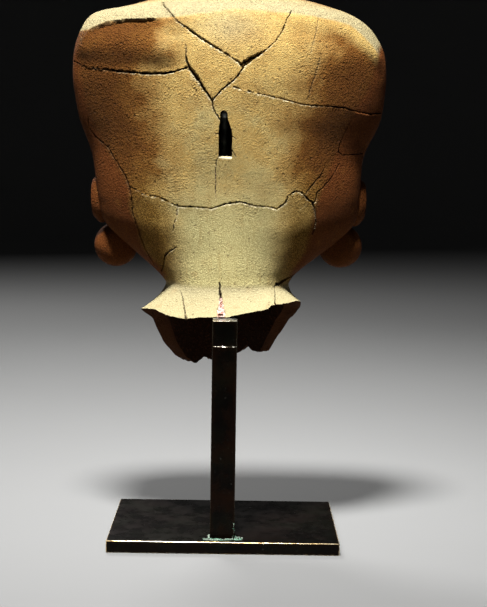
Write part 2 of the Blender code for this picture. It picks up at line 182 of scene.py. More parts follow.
def turnOutward(mesh, triangles=False):
    # makes the faces of a closed mesh point outwards
    builder = bmesh.new()
    builder.from_mesh(mesh)
    bmesh.ops.recalc_face_normals(builder, faces=builder.faces)
    if triangles:
        bmesh.ops.triangulate(builder, faces=builder.faces)
    builder.to_mesh(mesh)
    builder.free()


def noiseAt(point, size, seed):
    return noise.noise(Vector(point) / size + Vector((seed, seed * 0.7, -seed)))


# node tools, for shader and geometry trees alike

def connect(tree, socket, value):
    if isinstance(value, bpy.types.NodeSocket):
        tree.links.new(value, socket)
    elif socket.type == "RGBA" and len(value) == 3:
        socket.default_value = (*value, 1.0)
    else:
        socket.default_value = value


def addNode(tree, kind, values=None, **settings):
    node = tree.nodes.new(kind)
    for name, value in settings.items():
        setattr(node, name, value)
    for name, value in (values or {}).items():
        connect(tree, node.inputs[name], value)
    return node


def math2(tree, operation, first, second=0.0, clamp=False):
    values = {0: first, 1: second}
    return addNode(tree, "ShaderNodeMath", values, operation=operation, use_clamp=clamp).outputs[0]


def times(tree, first, second, clamp=False):
    return math2(tree, "MULTIPLY", first, second, clamp)


def plus(tree, first, second):
    return math2(tree, "ADD", first, second)


def minus(tree, first, second, clamp=False):
    return math2(tree, "SUBTRACT", first, second, clamp)


def vector2(tree, operation, first, second=(0.0, 0.0, 0.0)):
    return addNode(tree, "ShaderNodeVectorMath", {0: first, 1: second}, operation=operation).outputs[0]


def scaled(tree, vector, factor):
    values = {0: vector, "Scale": factor}
    return addNode(tree, "ShaderNodeVectorMath", values, operation="SCALE").outputs[0]


def noiseFactor(tree, vector, scale, detail, roughness=0.5):
    values = {"Vector": vector, "Scale": scale, "Detail": detail, "Roughness": roughness}
    return addNode(tree, "ShaderNodeTexNoise", values).outputs["Fac"]


def cellPattern(tree, vector, scale):
    return addNode(tree, "ShaderNodeTexVoronoi", {"Vector": vector, "Scale": scale}).outputs


def ramp(tree, value, low, high, start=0.0, end=1.0):
    values = {"Value": value, "From Min": low, "From Max": high, "To Min": start, "To Max": end}
    return addNode(tree, "ShaderNodeMapRange", values, interpolation_type="SMOOTHSTEP").outputs["Result"]


def mixColor(tree, factor, first, second):
    return addNode(tree, "ShaderNodeMix", {0: factor, 6: first, 7: second}, data_type="RGBA").outputs[2]


def splitVector(tree, vector):
    return addNode(tree, "ShaderNodeSeparateXYZ", {0: vector}).outputs


def storeNode(tree, geometry, name, value):
    values = {"Geometry": geometry, "Name": name, "Value": value}
    node = addNode(tree, "GeometryNodeStoreNamedAttribute", values, data_type="FLOAT", domain="POINT")
    return node.outputs[0]


def startTree(name, kind, inputs, outputs):
    tree = bpy.data.node_groups.new(name, kind)
    for label, socketKind, value in inputs:
        socket = tree.interface.new_socket(label, in_out="INPUT", socket_type=socketKind)
        if value is not None:
            socket.default_value = value
    for label, socketKind in outputs:
        tree.interface.new_socket(label, in_out="OUTPUT", socket_type=socketKind)
    return tree, tree.nodes.new("NodeGroupInput").outputs, tree.nodes.new("NodeGroupOutput").inputs


def addTreeModifier(item, tree, values):
    # inputs go in by identifier before the object is first evaluated
    modifier = item.modifiers.new(tree.name, "NODES")
    modifier.node_group = tree
    for socket in tree.interface.items_tree:
        if socket.in_out == "INPUT" and socket.name in values:
            modifier[socket.identifier] = values[socket.name]


# shader node groups

floatSocket = "NodeSocketFloat"
vectorSocket = "NodeSocketVector"
geometrySocket = "NodeSocketGeometry"
materialSocket = "NodeSocketMaterial"


def sandGrainGroup():
    # fired clay's sandy skin: grains, round pits and a height for the bump
    inputs = (("Vector", vectorSocket, None), ("Size", floatSocket, 0.001), ("Pit share", floatSocket, 0.3))
    outputs = (("Grain", floatSocket), ("Pits", floatSocket), ("Height", floatSocket))
    tree, given, made = startTree("sandGrain", "ShaderNodeTree", inputs, outputs)
    scale = math2(tree, "DIVIDE", 1.0, given["Size"])
    coarse = noiseFactor(tree, given["Vector"], scale, 3.0, 0.6)
    cells = cellPattern(tree, given["Vector"], times(tree, scale, 1.25))
    holes = cellPattern(tree, given["Vector"], times(tree, scale, 0.42))
    chance = splitVector(tree, holes["Color"])[0]
    limit = minus(tree, 1.0, given["Pit share"])
    kept = ramp(tree, chance, minus(tree, limit, 0.02), limit)
    pits = times(tree, ramp(tree, holes["Distance"], 0.10, 0.27, 1.0, 0.0), kept)
    tall = ramp(tree, splitVector(tree, cells["Color"])[1], 0.0, 1.0, 0.25, 1.0)
    bumps = times(tree, ramp(tree, cells["Distance"], 0.08, 0.72, 1.0, 0.0), tall)
    grain = plus(tree, times(tree, coarse, 0.55), times(tree, bumps, 0.45))
    height = plus(tree, times(tree, coarse, 0.30), bumps)
    connect(tree, made["Grain"], grain)
    connect(tree, made["Pits"], pits)
    connect(tree, made["Height"], minus(tree, height, times(tree, pits, 0.9)))
    return tree


def cloudGroup():
    # soft-edged patches of another tone
    inputs = (("Vector", vectorSocket, None), ("Size", floatSocket, 0.03), ("Low", floatSocket, 0.45),
              ("High", floatSocket, 0.65), ("Seed", floatSocket, 0.0))
    tree, given, made = startTree("cloudPatches", "ShaderNodeTree", inputs, (("Mask", floatSocket),))
    cloud = addNode(tree, "ShaderNodeTexNoise", {
        "Vector": given["Vector"], "W": given["Seed"], "Detail": 5.0, "Roughness": 0.6,
        "Scale": math2(tree, "DIVIDE", 1.0, given["Size"])}, noise_dimensions="4D").outputs["Fac"]
    connect(tree, made["Mask"], ramp(tree, cloud, given["Low"], given["High"]))
    return tree


def edgeWearGroup():
    # 1 along the edges of a box-shaped piece: the middle one of the distances to its faces is small there
    inputs = (("Vector", vectorSocket, None), ("Centre", vectorSocket, (0.0, 0.0, 0.0)),
              ("Half size", vectorSocket, (0.01, 0.01, 0.01)), ("Width", floatSocket, 0.0005),
              ("Ragged", floatSocket, 0.5))
    tree, given, made = startTree("boxEdgeWear", "ShaderNodeTree", inputs, (("Mask", floatSocket),))
    offset = vector2(tree, "ABSOLUTE", vector2(tree, "SUBTRACT", given["Vector"], given["Centre"]))
    x, y, z = splitVector(tree, vector2(tree, "SUBTRACT", given["Half size"], offset))
    lower = math2(tree, "MINIMUM", x, y)
    upper = math2(tree, "MAXIMUM", x, y)
    middle = math2(tree, "MAXIMUM", lower, math2(tree, "MINIMUM", upper, z))
    rag = noiseFactor(tree, given["Vector"], 420.0, 5.0, 0.7)
    wander = times(tree, minus(tree, rag, 0.5), given["Ragged"])
    reach = times(tree, given["Width"], plus(tree, 1.0, times(tree, wander, 4.0)))
    connect(tree, made["Mask"], ramp(tree, middle, times(tree, reach, 0.45), reach, 1.0, 0.0))
    return tree


def dustAndSheenGroup():
    # fine pale dust on what faces up, and a painted sheen on top faces
    inputs = (("Vector", vectorSocket, None), ("Amount", floatSocket, 0.3))
    tree, given, made = startTree("settledDust", "ShaderNodeTree", inputs, (("Mask", floatSocket),))
    facing = splitVector(tree, addNode(tree, "ShaderNodeNewGeometry").outputs["Normal"])[2]
    cloud = noiseFactor(tree, given["Vector"], 260.0, 6.0, 0.75)
    spread = times(tree, ramp(tree, facing, 0.35, 0.95), ramp(tree, cloud, 0.42, 0.72))
    connect(tree, made["Mask"], times(tree, spread, given["Amount"]))
    return tree


sandGrain = sandGrainGroup()
cloudPatches = cloudGroup()
boxEdgeWear = edgeWearGroup()
settledDust = dustAndSheenGroup()


def useGroup(tree, group, values):
    return addNode(tree, "ShaderNodeGroup", values, node_tree=group).outputs


def sand(tree, vector, size, pitShare):
    return useGroup(tree, sandGrain, {"Vector": vector, "Size": size, "Pit share": pitShare})


def clouds(tree, vector, size, low, high, seed):
    values = {"Vector": vector, "Size": size, "Low": low, "High": high, "Seed": seed}
    return useGroup(tree, cloudPatches, values)["Mask"]


def edgeWear(tree, vector, low, high, width, ragged):
    values = {"Vector": vector, "Centre": tuple((low + high) / 2.0), "Half size": tuple((high - low) / 2.0),
              "Width": width, "Ragged": ragged}
    return useGroup(tree, boxEdgeWear, values)["Mask"]


def dustAndSheenOn(tree, vector, amount):
    return useGroup(tree, settledDust, {"Vector": vector, "Amount": amount})["Mask"]


def startMaterial(name, roughness, metallic=0.0, specular=0.5):
    material = bpy.data.materials.new(name)
    material.use_nodes = True
    tree = material.node_tree
    shader = tree.nodes["Principled BSDF"]
    shader.inputs["Roughness"].default_value = roughness
    shader.inputs["Metallic"].default_value = metallic
    shader.inputs["Specular IOR Level"].default_value = specular
    return material, tree, shader, addNode(tree, "ShaderNodeTexCoord").outputs["Object"]


def paint(tree, shader, color, roughness):
    tree.links.new(color, shader.inputs["Base Color"])
    tree.links.new(roughness, shader.inputs["Roughness"])


def addBump(tree, shader, height, distance, strength=1.0):
    bump = addNode(tree, "ShaderNodeBump", {"Strength": strength, "Distance": distance, "Height": height})
    tree.links.new(bump.outputs["Normal"], shader.inputs["Normal"])


def storedValue(tree, name):
    return addNode(tree, "ShaderNodeAttribute", attribute_name=name).outputs["Fac"]


# materials

clayTones = {
    "ochre": (0.33, 0.205, 0.055), "sand": (0.60, 0.435, 0.160), "orangeLow": (0.105, 0.036, 0.006),
    # mould: the front half's red, partly its own colour and partly painted shade, made darker to match its
    # sides in shade
    "orangeHigh": (0.33, 0.158, 0.030), "mouldLow": (0.062, 0.017, 0.0035),
    "mouldHigh": (0.155, 0.050, 0.0105), "goldLow": (0.080, 0.038, 0.006), "goldHigh": (0.38, 0.225, 0.045),
    # umber: the deepest tone of the painted shade on the flanks
    "umberLow": (0.052, 0.016, 0.0025), "umberHigh": (0.175, 0.066, 0.011), "greyLow": (0.33, 0.29, 0.125),
    "greyHigh": (0.56, 0.50, 0.24), "creamLow": (0.250, 0.212, 0.112), "creamHigh": (0.405, 0.350, 0.195),
    # lip: a painted highlight on the cracks' lower lips and on the vent's ledge
    "sootAndShade": (0.020, 0.010, 0.005), "pit": (0.060, 0.027, 0.009), "lip": (0.72, 0.62, 0.38),
    # inside: near black, painted shade of the hollow head
    "break": (0.060, 0.021, 0.007), "inside": (0.016, 0.0055, 0.002), "crumb": (0.075, 0.025, 0.008),
}


def clayOutside():
    # tones change with the stored masks, each one darker in the grain's hollows than on its tops
    tones = clayTones
    goldFrom, goldTo = seatLevel + 50.0 * unit, seatLevel + 92.0 * unit
    material, tree, shader, vector = startMaterial("firedClayOutside", 0.9, specular=0.06)
    grains = sand(tree, vector, 0.00066, 0.20)
    pebbles = sand(tree, vector, 0.0015, 0.24)
    fine = sand(tree, vector, 0.00034, 0.10)
    cool = clouds(tree, vector, 0.026, 0.50, 0.68, 7.9)
    warm = clouds(tree, vector, 0.030, 0.46, 0.64, 1.3)
    patchy = clouds(tree, vector, 0.014, 0.40, 0.62, 3.3)
    stain = clouds(tree, vector, 0.006, 0.54, 0.72, 4.1)
    mould = storedValue(tree, "mould")
    ragged = clouds(tree, vector, 0.011, 0.34, 0.70, 6.2)
    # painted shade: the flanks turn orange, gold low down and umber at the deepest, darker towards the
    # outline where the sides turn away from the light
    fired = plus(tree, storedValue(tree, "fired"), times(tree, ragged, 0.28))
    fired = minus(tree, times(tree, fired, 1.05), 0.12, True)
    light = plus(tree, times(tree, ramp(tree, grains["Grain"], 0.28, 0.52), 0.6),
                 times(tree, ramp(tree, fine["Grain"], 0.28, 0.54), 0.4))
    color = mixColor(tree, light, tones["ochre"], tones["sand"])
    orange, gold, grey, umber, cream, red = (
        mixColor(tree, light, tones[name + "Low"], tones[name + "High"])
        for name in ("orange", "gold", "grey", "umber", "cream", "mould"))
    isLow = ramp(tree, splitVector(tree, vector)[2], goldFrom, goldTo, 1.0, 0.0)
    color = mixColor(tree, times(tree, warm, 0.35), color, orange)
    color = mixColor(tree, times(tree, cool, 0.45), color, grey)
    flank = mixColor(tree, isLow, orange, gold)
    color = mixColor(tree, times(tree, fired, 1.5, True), color, flank)
    deepShade = times(tree, ramp(tree, fired, 0.35, 1.05), ramp(tree, isLow, 0.0, 1.0, 1.0, 0.35))
    color = mixColor(tree, deepShade, color, umber)
    stretched = vector2(tree, "MULTIPLY", vector, (1.0, 1.0, 0.12))
    streaks = clouds(tree, stretched, 0.0028, 0.55, 0.70, 5.3)
    grey = mixColor(tree, times(tree, streaks, 0.30), grey, gold)
    color = mixColor(tree, storedValue(tree, "neck"), color, grey)
    # cream on the flange, and on the crown a painted highlight where it turns up to the light
    color = mixColor(tree, storedValue(tree, "rim"), color, cream)
    color = mixColor(tree, mould, color, red)
    color = mixColor(tree, times(tree, stain, 0.25), color, orange)
    color = mixColor(tree, times(tree, grains["Pits"], 0.7), color, tones["pit"])
    color = mixColor(tree, times(tree, pebbles["Pits"], 0.45), color, tones["pit"])
    # painted highlight on the cracks' lower lips and on the vent's ledge, dimmed on the mould and the painted
    # flank shade
    dim = minus(tree, 1.0, times(tree, math2(tree, "MAXIMUM", mould, fired), 0.97))
    lip = times(tree, storedValue(tree, "lip"), dim)
    color = mixColor(tree, math2(tree, "MAXIMUM", lip, storedValue(tree, "pale")), color, tones["lip"])
    # dark inside the grooves: the cracks' dark joints, and in the ledge crease a painted shadow
    color = mixColor(tree, storedValue(tree, "crack"), color, tones["sootAndShade"])
    paint(tree, shader, color, ramp(tree, fine["Grain"], 0.3, 0.7, 0.82, 0.96))
    smoothness = math2(tree, "MAXIMUM", times(tree, mould, 0.8), storedValue(tree, "smooth"))
    keep = minus(tree, 1.0, times(tree, smoothness, 0.8))
    rough = plus(tree, times(tree, patchy, 0.7), times(tree, fired, 0.8))
    height = plus(tree, grains["Height"], times(tree, pebbles["Height"], rough))
    height = times(tree, height, keep)
    height = plus(tree, height, times(tree, fine["Height"], 0.14))
    addBump(tree, shader, height, 0.00095)
    return material


def clayRough(name, tone, speck, size):
    # broken edges and the hand-pressed inside
    material, tree, shader, vector = startMaterial(name, 0.94, specular=0.06)
    grains = sand(tree, vector, size, 0.5)
    cloud = clouds(tree, vector, 0.018, 0.40, 0.68, 2.7)
    color = mixColor(tree, ramp(tree, grains["Grain"], 0.28, 0.68, 0.0, 0.6), tone, speck)
    color = mixColor(tree, times(tree, cloud, 0.5), color, clayTones["sootAndShade"])
    color = mixColor(tree, times(tree, grains["Pits"], 0.6), color, clayTones["sootAndShade"])
    paint(tree, shader, color, ramp(tree, grains["Grain"], 0.3, 0.7, 0.88, 0.98))
    addBump(tree, shader, grains["Height"], 0.0006)
    return material


brassTones = {
    "patina": (0.0022, 0.0016, 0.0012), "brown": (0.010, 0.0036, 0.0013), "olive": (0.0050, 0.0056, 0.0030),
    "brass": (0.62, 0.42, 0.17), "pale": (0.62, 0.60, 0.50), "verdigris": (0.16, 0.34, 0.24),
    "dustAndSheen": (0.48, 0.475, 0.43),
}


def patinatedBrass(name, low, high, brownShare, wearShare, dustAndSheenAmount, crustAt=None, seamAt=None):
    # dark chemical patina over brass, rubbed bright along the edges of its own box
    tones = brassTones
    material, tree, shader, vector = startMaterial(name, 0.5, 0.6, 0.12)
    mottle = clouds(tree, vector, 0.012, 0.38, 0.66, 3.0)
    olive = clouds(tree, vector, 0.020, 0.42, 0.66, 8.0)
    specks = clouds(tree, vector, 0.0011, 0.64, 0.74, 5.0)
    wear = edgeWear(tree, vector, low, high, 0.00042, 0.6)
    rub = edgeWear(tree, vector, low, high, 0.0022, 1.0)
    dustAndSheen = dustAndSheenOn(tree, vector, dustAndSheenAmount)
    color = mixColor(tree, times(tree, mottle, brownShare), tones["patina"], tones["brown"])
    color = mixColor(tree, times(tree, olive, 0.5), color, tones["olive"])
    color = mixColor(tree, times(tree, rub, 0.25), color, tones["brown"])
    edge = mixColor(tree, mottle, tones["brass"], tones["pale"])
    color = mixColor(tree, times(tree, wear, wearShare), color, edge)
    color = mixColor(tree, times(tree, specks, 0.05), color, tones["pale"])
    if seamAt:
        away = math2(tree, "ABSOLUTE", minus(tree, splitVector(tree, vector)[2], seamAt))
        dashes = clouds(tree, vector, 0.0020, 0.54, 0.58, 2.6)
        bright = times(tree, ramp(tree, away, 0.00012, 0.0003, 1.0, 0.0), dashes)
        color = mixColor(tree, bright, color, tones["pale"])
    color = mixColor(tree, dustAndSheen, color, tones["dustAndSheen"])
    if crustAt:
        away = addNode(tree, "ShaderNodeVectorMath", {0: vector, 1: crustAt}, operation="DISTANCE")
        ragged = clouds(tree, vector, 0.003, 0.42, 0.62, 6.0)
        near = times(tree, ramp(tree, away.outputs["Value"], 0.003, 0.0075, 1.0, 0.0), ragged)
        color = mixColor(tree, times(tree, near, 0.16), color, tones["verdigris"])
        tree.links.new(ramp(tree, near, 0.0, 0.6, 0.6, 0.0), shader.inputs["Metallic"])
    rough = minus(tree, ramp(tree, mottle, 0.0, 1.0, 0.26, 0.32), times(tree, wear, 0.12))
    paint(tree, shader, color, rough)
    scratch = noiseFactor(tree, vector2(tree, "MULTIPLY", vector, (160.0, 1500.0, 420.0)), 1.0, 3.0)
    addBump(tree, shader, plus(tree, scratch, times(tree, mottle, 0.6)), 0.00006, 0.8)
    return material


def rodPatina(tipHighlightFrom):
    material, tree, shader, vector = startMaterial("rodPatina", 0.48, 0.7)
    mottle = clouds(tree, vector, 0.004, 0.38, 0.68, 9.0)
    color = mixColor(tree, mottle, (0.035, 0.040, 0.038), (0.115, 0.125, 0.118))
    # painted highlight: the last millimetres of the tip made light grey, where it catches the light
    tipHighlight = ramp(tree, splitVector(tree, vector)[1], tipHighlightFrom, tipHighlightFrom + 0.004)
    color = mixColor(tree, times(tree, tipHighlight, 0.8), color, (0.42, 0.45, 0.44))
    dustAndSheen = dustAndSheenOn(tree, vector, 0.4)
    color = mixColor(tree, dustAndSheen, color, (0.40, 0.41, 0.39))
    paint(tree, shader, color, ramp(tree, mottle, 0.0, 1.0, 0.42, 0.62))
    addBump(tree, shader, mottle, 0.00008, 0.7)
    return material


def crumbly(name, size, distance):
    # crust, plaster or clay crumbs: three tones in soft patches, with a rough bump
    material, tree, shader, vector = startMaterial(name, 0.9)
    tones = crumbTones[name]
    first = clouds(tree, vector, size, 0.42, 0.60, 1.0)
    second = clouds(tree, vector, size * 1.7, 0.46, 0.62, 2.0)
    color = mixColor(tree, first, tones[0], tones[1])
    color = mixColor(tree, second, color, tones[2])
    grains = sand(tree, vector, 0.0004, 0.3)
    paint(tree, shader, color, ramp(tree, grains["Grain"], 0.3, 0.7, 0.82, 0.96))
    addBump(tree, shader, grains["Height"], distance)
    return material


outsideClay = clayOutside()
# the inside's near-black tone, with its darker patches, is painted shade of the hollow head
insideClay = clayRough("firedClayInside", clayTones["inside"], clayTones["crumb"], 0.0016)
brokenClay = clayRough("firedClayBroken", clayTones["break"], clayTones["crumb"], 0.0010)
clays = (outsideClay, insideClay, brokenClay)  # slots 0, 1 and 2 of every clay mesh
crumbTones = {
    "pinkPlaster": ((0.62, 0.40, 0.33), (0.74, 0.62, 0.52), (0.30, 0.10, 0.06)),
    "verdigrisCrust": ((0.12, 0.30, 0.20), (0.34, 0.38, 0.31), (0.18, 0.22, 0.17)),
    "paleClayCrumb": ((0.40, 0.30, 0.15), (0.50, 0.40, 0.23), (0.20, 0.10, 0.04)),
}
plaster = crumbly("pinkPlaster", 0.0012, 0.0003)
verdigris = crumbly("verdigrisCrust", 0.0026, 0.0003)
clayCrumb = crumbly("paleClayCrumb", 0.0020, 0.0002)
print("materials made")


# head

headForm = {
    "wall": 7.0,
    "frontColumns": 206,
    "backColumns": 122,
    "neckRows": 26,
    "innerNeckRows": 10,
    "innerRowsPerSpan": 3,
    "rowGaps": ((12.0, 1.4), (92.0, 1.02), (104.0, 1.35), (156.0, 1.1), (180.0, 1.5)),
    "rimRings": 3,
    "rounder": 0.55,
    "rimRag": 0.55,
}

# height, half width left, half width right, widest plane, back depth, front depth,
# squareness behind, squareness in front, and whether the cavity follows the station
stations = (
    (15.0, 33.5, 33.3, 0.0, 29.0, 34.0, 2.2, 2.0, True),
    (20.0, 37.6, 36.8, 0.0, 28.6, 38.0, 2.0, 2.0, False),
    (28.0, 46.6, 46.6, 0.0, 28.5, 40.0, 1.75, 2.1, True),
    (36.0, 56.0, 57.0, 0.0, 28.7, 41.5, 1.65, 2.2, False),
    (47.0, 67.0, 68.0, 0.0, 29.0, 42.0, 1.75, 2.3, True),
    (58.0, 70.2, 70.6, 0.0, 29.5, 41.5, 1.9, 2.4, False),
    (70.0, 71.9, 71.4, 0.0, 30.0, 40.5, 2.05, 2.5, True),
    (84.6, 74.4, 73.0, 0.0, 31.6, 39.0, 2.2, 2.7, False),
    (102.0, 80.7, 80.9, 0.0, 33.0, 37.0, 2.35, 2.9, True),
    (116.0, 83.6, 83.2, 0.0, 33.4, 36.5, 2.5, 3.0, False),
    (128.0, 84.6, 83.7, 0.0, 32.6, 35.5, 2.6, 3.0, True),
    (140.0, 83.7, 82.2, 1.0, 31.0, 33.0, 2.6, 2.9, False),
    (150.0, 80.4, 76.8, 3.0, 28.0, 28.5, 2.6, 2.7, True),
    (156.5, 76.6, 70.2, 5.0, 25.5, 24.7, 2.5, 2.6, False),
    (160.2, 70.5, 64.3, 7.0, 22.5, 21.2, 2.4, 2.5, False),
    (163.2, 57.0, 57.0, 9.5, 18.0, 17.1, 2.3, 2.4, True),
    (168.0, 40.5, 40.5, 12.0, 12.0, 11.2, 2.1, 2.2, False),
    (171.9, 20.0, 20.0, 13.6, 5.8, 5.4, 2.0, 2.0, False),
    (173.3, 0.0, 0.0, 14.0, 0.0, 0.0, 2.0, 2.0, True),
)

# azimuth in degrees (0 left, 90 back), height and flare of the broken lower edge
brokenEdge = (
    (0, -0.5, 13.5), (20, 1.5, 12.5), (35, 2.0, 12.0), (50, -0.3, 12.0), (63, -1.4, 12.0),
    (75, 0.0, 12.0), (90, 0.3, 12.0), (105, 2.6, 11.5), (119, 4.4, 11.1), (120.5, 5.9, 11.0),
    (131, 6.8, 10.0), (155, 7.0, 8.0), (170, 5.0, 7.0), (182, 1.5, 6.5), (200, -6.0, 3.0),
    (214, -16.0, 0.5), (226, -24.5, 0.5), (238, -25.0, 1.5), (246, -21.5, 1.5), (255, -25.5, 1.5),
    (275, -29.0, 1.5), (284, -30.8, 2.0), (296, -28.2, 3.0), (306, -32.0, 3.5), (320, -28.0, 4.0),
    (336, -19.5, 5.0), (350, -6.0, 8.0), (360, -0.5, 13.5),
)

face = {
    "chin": 15.0, "mouth": 29.0, "mouthHalf": 24.0, "noseBase": 47.0, "eye": 70.0,
    "eyeSpacing": 26.0, "brow": 83.0, "bandBottom": 107.0, "bandTop": 152.0,
    "toothWidth": 5.0, "hairPitch": 3.3, "cordPitch": 4.8,
}

# stepped fret beside the headband's disc, as boxes from its corner: low x, low z, high x, high z
fretBars = (
    (17.5, -14.6, 46.5, -11.2), (17.5, -11.2, 29.5, -7.8), (17.5, -7.8, 25.5, -4.4), (17.5, -4.4, 21.5, -1.0),
    (42.8, -14.6, 46.5, 14.6), (26.0, 11.0, 46.5, 14.6), (26.0, 3.5, 29.6, 14.6), (26.0, 3.5, 36.5, 7.0),
    (33.4, -3.0, 37.0, 7.0),
)


def sectionRow(station, angles):
    height, left, right, plane, back, front, squareBack, squareFront = station
    across = np.cos(angles)
    along = np.sin(angles)
    rounder = headForm["rounder"] * smoothStep(height, 60.0, 100.0)
    power = np.where(along >= 0.0, squareBack - rounder, squareFront)
    reach = (np.abs(across) ** power + np.abs(along) ** power) ** (-1.0 / power)
    x = across * reach * np.where(across >= 0.0, left, right)
    y = along * reach * np.where(along >= 0.0, back, front) - plane
    return np.stack([x, y, np.zeros_like(x) + height], 1)


def splineRow(rows, position):
    # Catmull-Rom through the stations, mirrored past the last one to close the crown
    last = len(rows) - 1
    span = min(int(position), last - 1)
    part = position - span
    first, second, third = rows[max(span - 1, 0)], rows[span], rows[span + 1]
    mirror = np.array([1.0, -1.0, -1.0, 1.0, -1.0, -1.0, 1.0, 1.0])
    fourth = rows[span + 2] if span + 2 <= last else np.where(mirror < 0, -rows[last - 1], rows[last])
    if span + 2 > last:
        fourth[0] = rows[last - 1][0]
        fourth[3] = rows[last - 1][3]
    slopes = (third - first) / 2.0, (fourth - second) / 2.0
    square, cube = part ** 2, part ** 3
    return ((2 * cube - 3 * square + 1) * second + (cube - 2 * square + part) * slopes[0]
            + (3 * square - 2 * cube) * third + (cube - square) * slopes[1])


def columnAngles(count, start, station):
    # angles that space the columns evenly along half a section
    fine = np.linspace(start, start + math.pi, 721)
    steps = np.linalg.norm(np.diff(sectionRow(station, fine)[:, :2], axis=0), axis=1)
    length = np.concatenate(([0.0], np.cumsum(steps)))
    return np.interp(np.linspace(0.0, length[-1], count + 1)[:-1], length, fine)


def edgeAt(angles):
    degrees = np.degrees(angles) % 360.0
    table = np.array(brokenEdge)
    return np.interp(degrees, table[:, 0], table[:, 1]), np.interp(degrees, table[:, 0], table[:, 2])


def edgeRag(angles, seed):
    ring = [(34.0 * math.cos(angle), 30.0 * math.sin(angle), 0.0) for angle in angles]
    return np.array([0.6 * noiseAt(p, 5.0, seed) + 0.5 * noiseAt(p, 1.9, seed) + 0.3 * noiseAt(p, 0.8, seed)
                     for p in ring])


def neckRow(angles, part, inset, flareShare, rag):
    jaw = stations[0]
    edgeHeight, flare = edgeAt(angles)
    edgeHeight = edgeHeight + rag
    height = edgeHeight + part * (jaw[0] - edgeHeight)
    front = 22.0 + smoothStep(height, 1.0, 12.0) * (jaw[5] - 22.0)
    points = sectionRow((height,) + jaw[1:5] + (front,) + jaw[6:8], angles)
    push = flare * flareShare * (1.0 - part) ** 1.7 - inset
    points[:, 0] += np.cos(angles) * push
    points[:, 1] += np.sin(angles) * push
    return points


def eyeRelief(side, z):
    lift = 4.2 * np.sqrt(np.clip(1.0 - ((side - face["eyeSpacing"]) / 15.0) ** 2
                                 - ((z - face["eye"]) / 6.5) ** 2, 0.0, 1.0))
    across = side - face["eyeSpacing"]
    slit = z - (face["eye"] - 0.8 + 0.012 * across ** 2)
    within = smoothStep(13.0 - np.abs(across), 0.0, 4.0)
    lift -= 1.8 * ridge(slit, 2.0) * within
    lift += (0.9 * ridge(slit - 2.4, 1.0) + 0.7 * ridge(slit + 2.5, 1.0) + 0.8 * ridge(slit, 1.1)) * within
    lift -= 0.8 * ridge(slit - 6.4 + 0.012 * across ** 2, 1.2) * smoothStep(15.0 - np.abs(across), 0.0, 5.0)
    lift -= 0.6 * ridge(slit + 5.6, 1.3) * smoothStep(12.0 - np.abs(across), 0.0, 6.0)
    return lift


def noseRelief(side, z):
    base, brow = face["noseBase"], face["brow"]
    drop = np.clip((brow + 1.0 - z) / (brow + 1.0 - base), 0.0, 1.0)
    height = (3.0 + 10.5 * drop ** 1.1) * smoothStep(z - base + 4.0, 0.0, 6.5)
    height = height * smoothStep(brow + 9.0 - z, 0.0, 12.0)
    lift = height * np.exp(-(side / (4.6 + 5.0 * drop)) ** 2.4)
    lift += 5.0 * bell(side, z, (10.5, base + 2.5), (4.2, 4.0))
    lift -= 3.4 * bell(side, z, (5.4, base - 1.8), (2.4, 1.7))
    lift -= 1.2 * ridge(np.hypot(side - 9.4, z - base - 2.6) - 6.0, 1.1) * smoothStep(side, 11.0, 13.5)
    lift -= 1.0 * ridge(side, 1.8) * smoothStep(z, 37.0, 39.5) * smoothStep(base - 3.0 - z, 0.0, 2.0)
    return lift


def mouthRelief(x, z):
    side = np.abs(x)
    half = face["mouthHalf"]
    middle = face["mouth"] - 1.0 + 0.015 * side ** 2
    opening = 5.2 * np.clip(1.0 - (side / half) ** 2, 0.0, 1.0)
    within = smoothStep(half + 4.0 - side, 0.0, 5.0)
    lip = np.abs(z - middle) - opening - 2.2
    lift = (3.2 * ridge(lip, 3.0) - 0.3 * ridge(lip - 3.8, 1.4)) * within
    depth = opening - np.abs(z - middle)
    lift -= np.where(opening > 0.0, 3.0 * smoothStep(depth, 0.0, 3.4), 0.0)
    teeth = smoothStep(depth, 0.2, 1.3) * smoothStep(z - middle, -1.6, -0.4)
    teeth = teeth * smoothStep(half - 5.0 - side, 0.0, 3.0)
    gap = repeatDistance(x, face["toothWidth"]) - face["toothWidth"] / 2.0
    lift += teeth * (2.6 - 1.3 * ridge(gap, 0.75))
    lift += 1.5 * bell(x, z, (0.0, face["mouth"] - 4.2), (9.0, 2.0)) * smoothStep(depth, 0.0, 1.6)
    lift -= 1.5 * bell(side, z, (half + 4.6, face["mouth"] + 6.4), (2.6, 3.4))
    fold = 13.5 + 18.0 * (np.clip(50.0 - z, 0.0, 16.0) / 16.0) ** 0.8
    lift -= 1.0 * ridge(side - fold, 2.8) * smoothStep(z, 33.0, 40.0) * smoothStep(52.0 - z, 0.0, 4.0)
    return lift


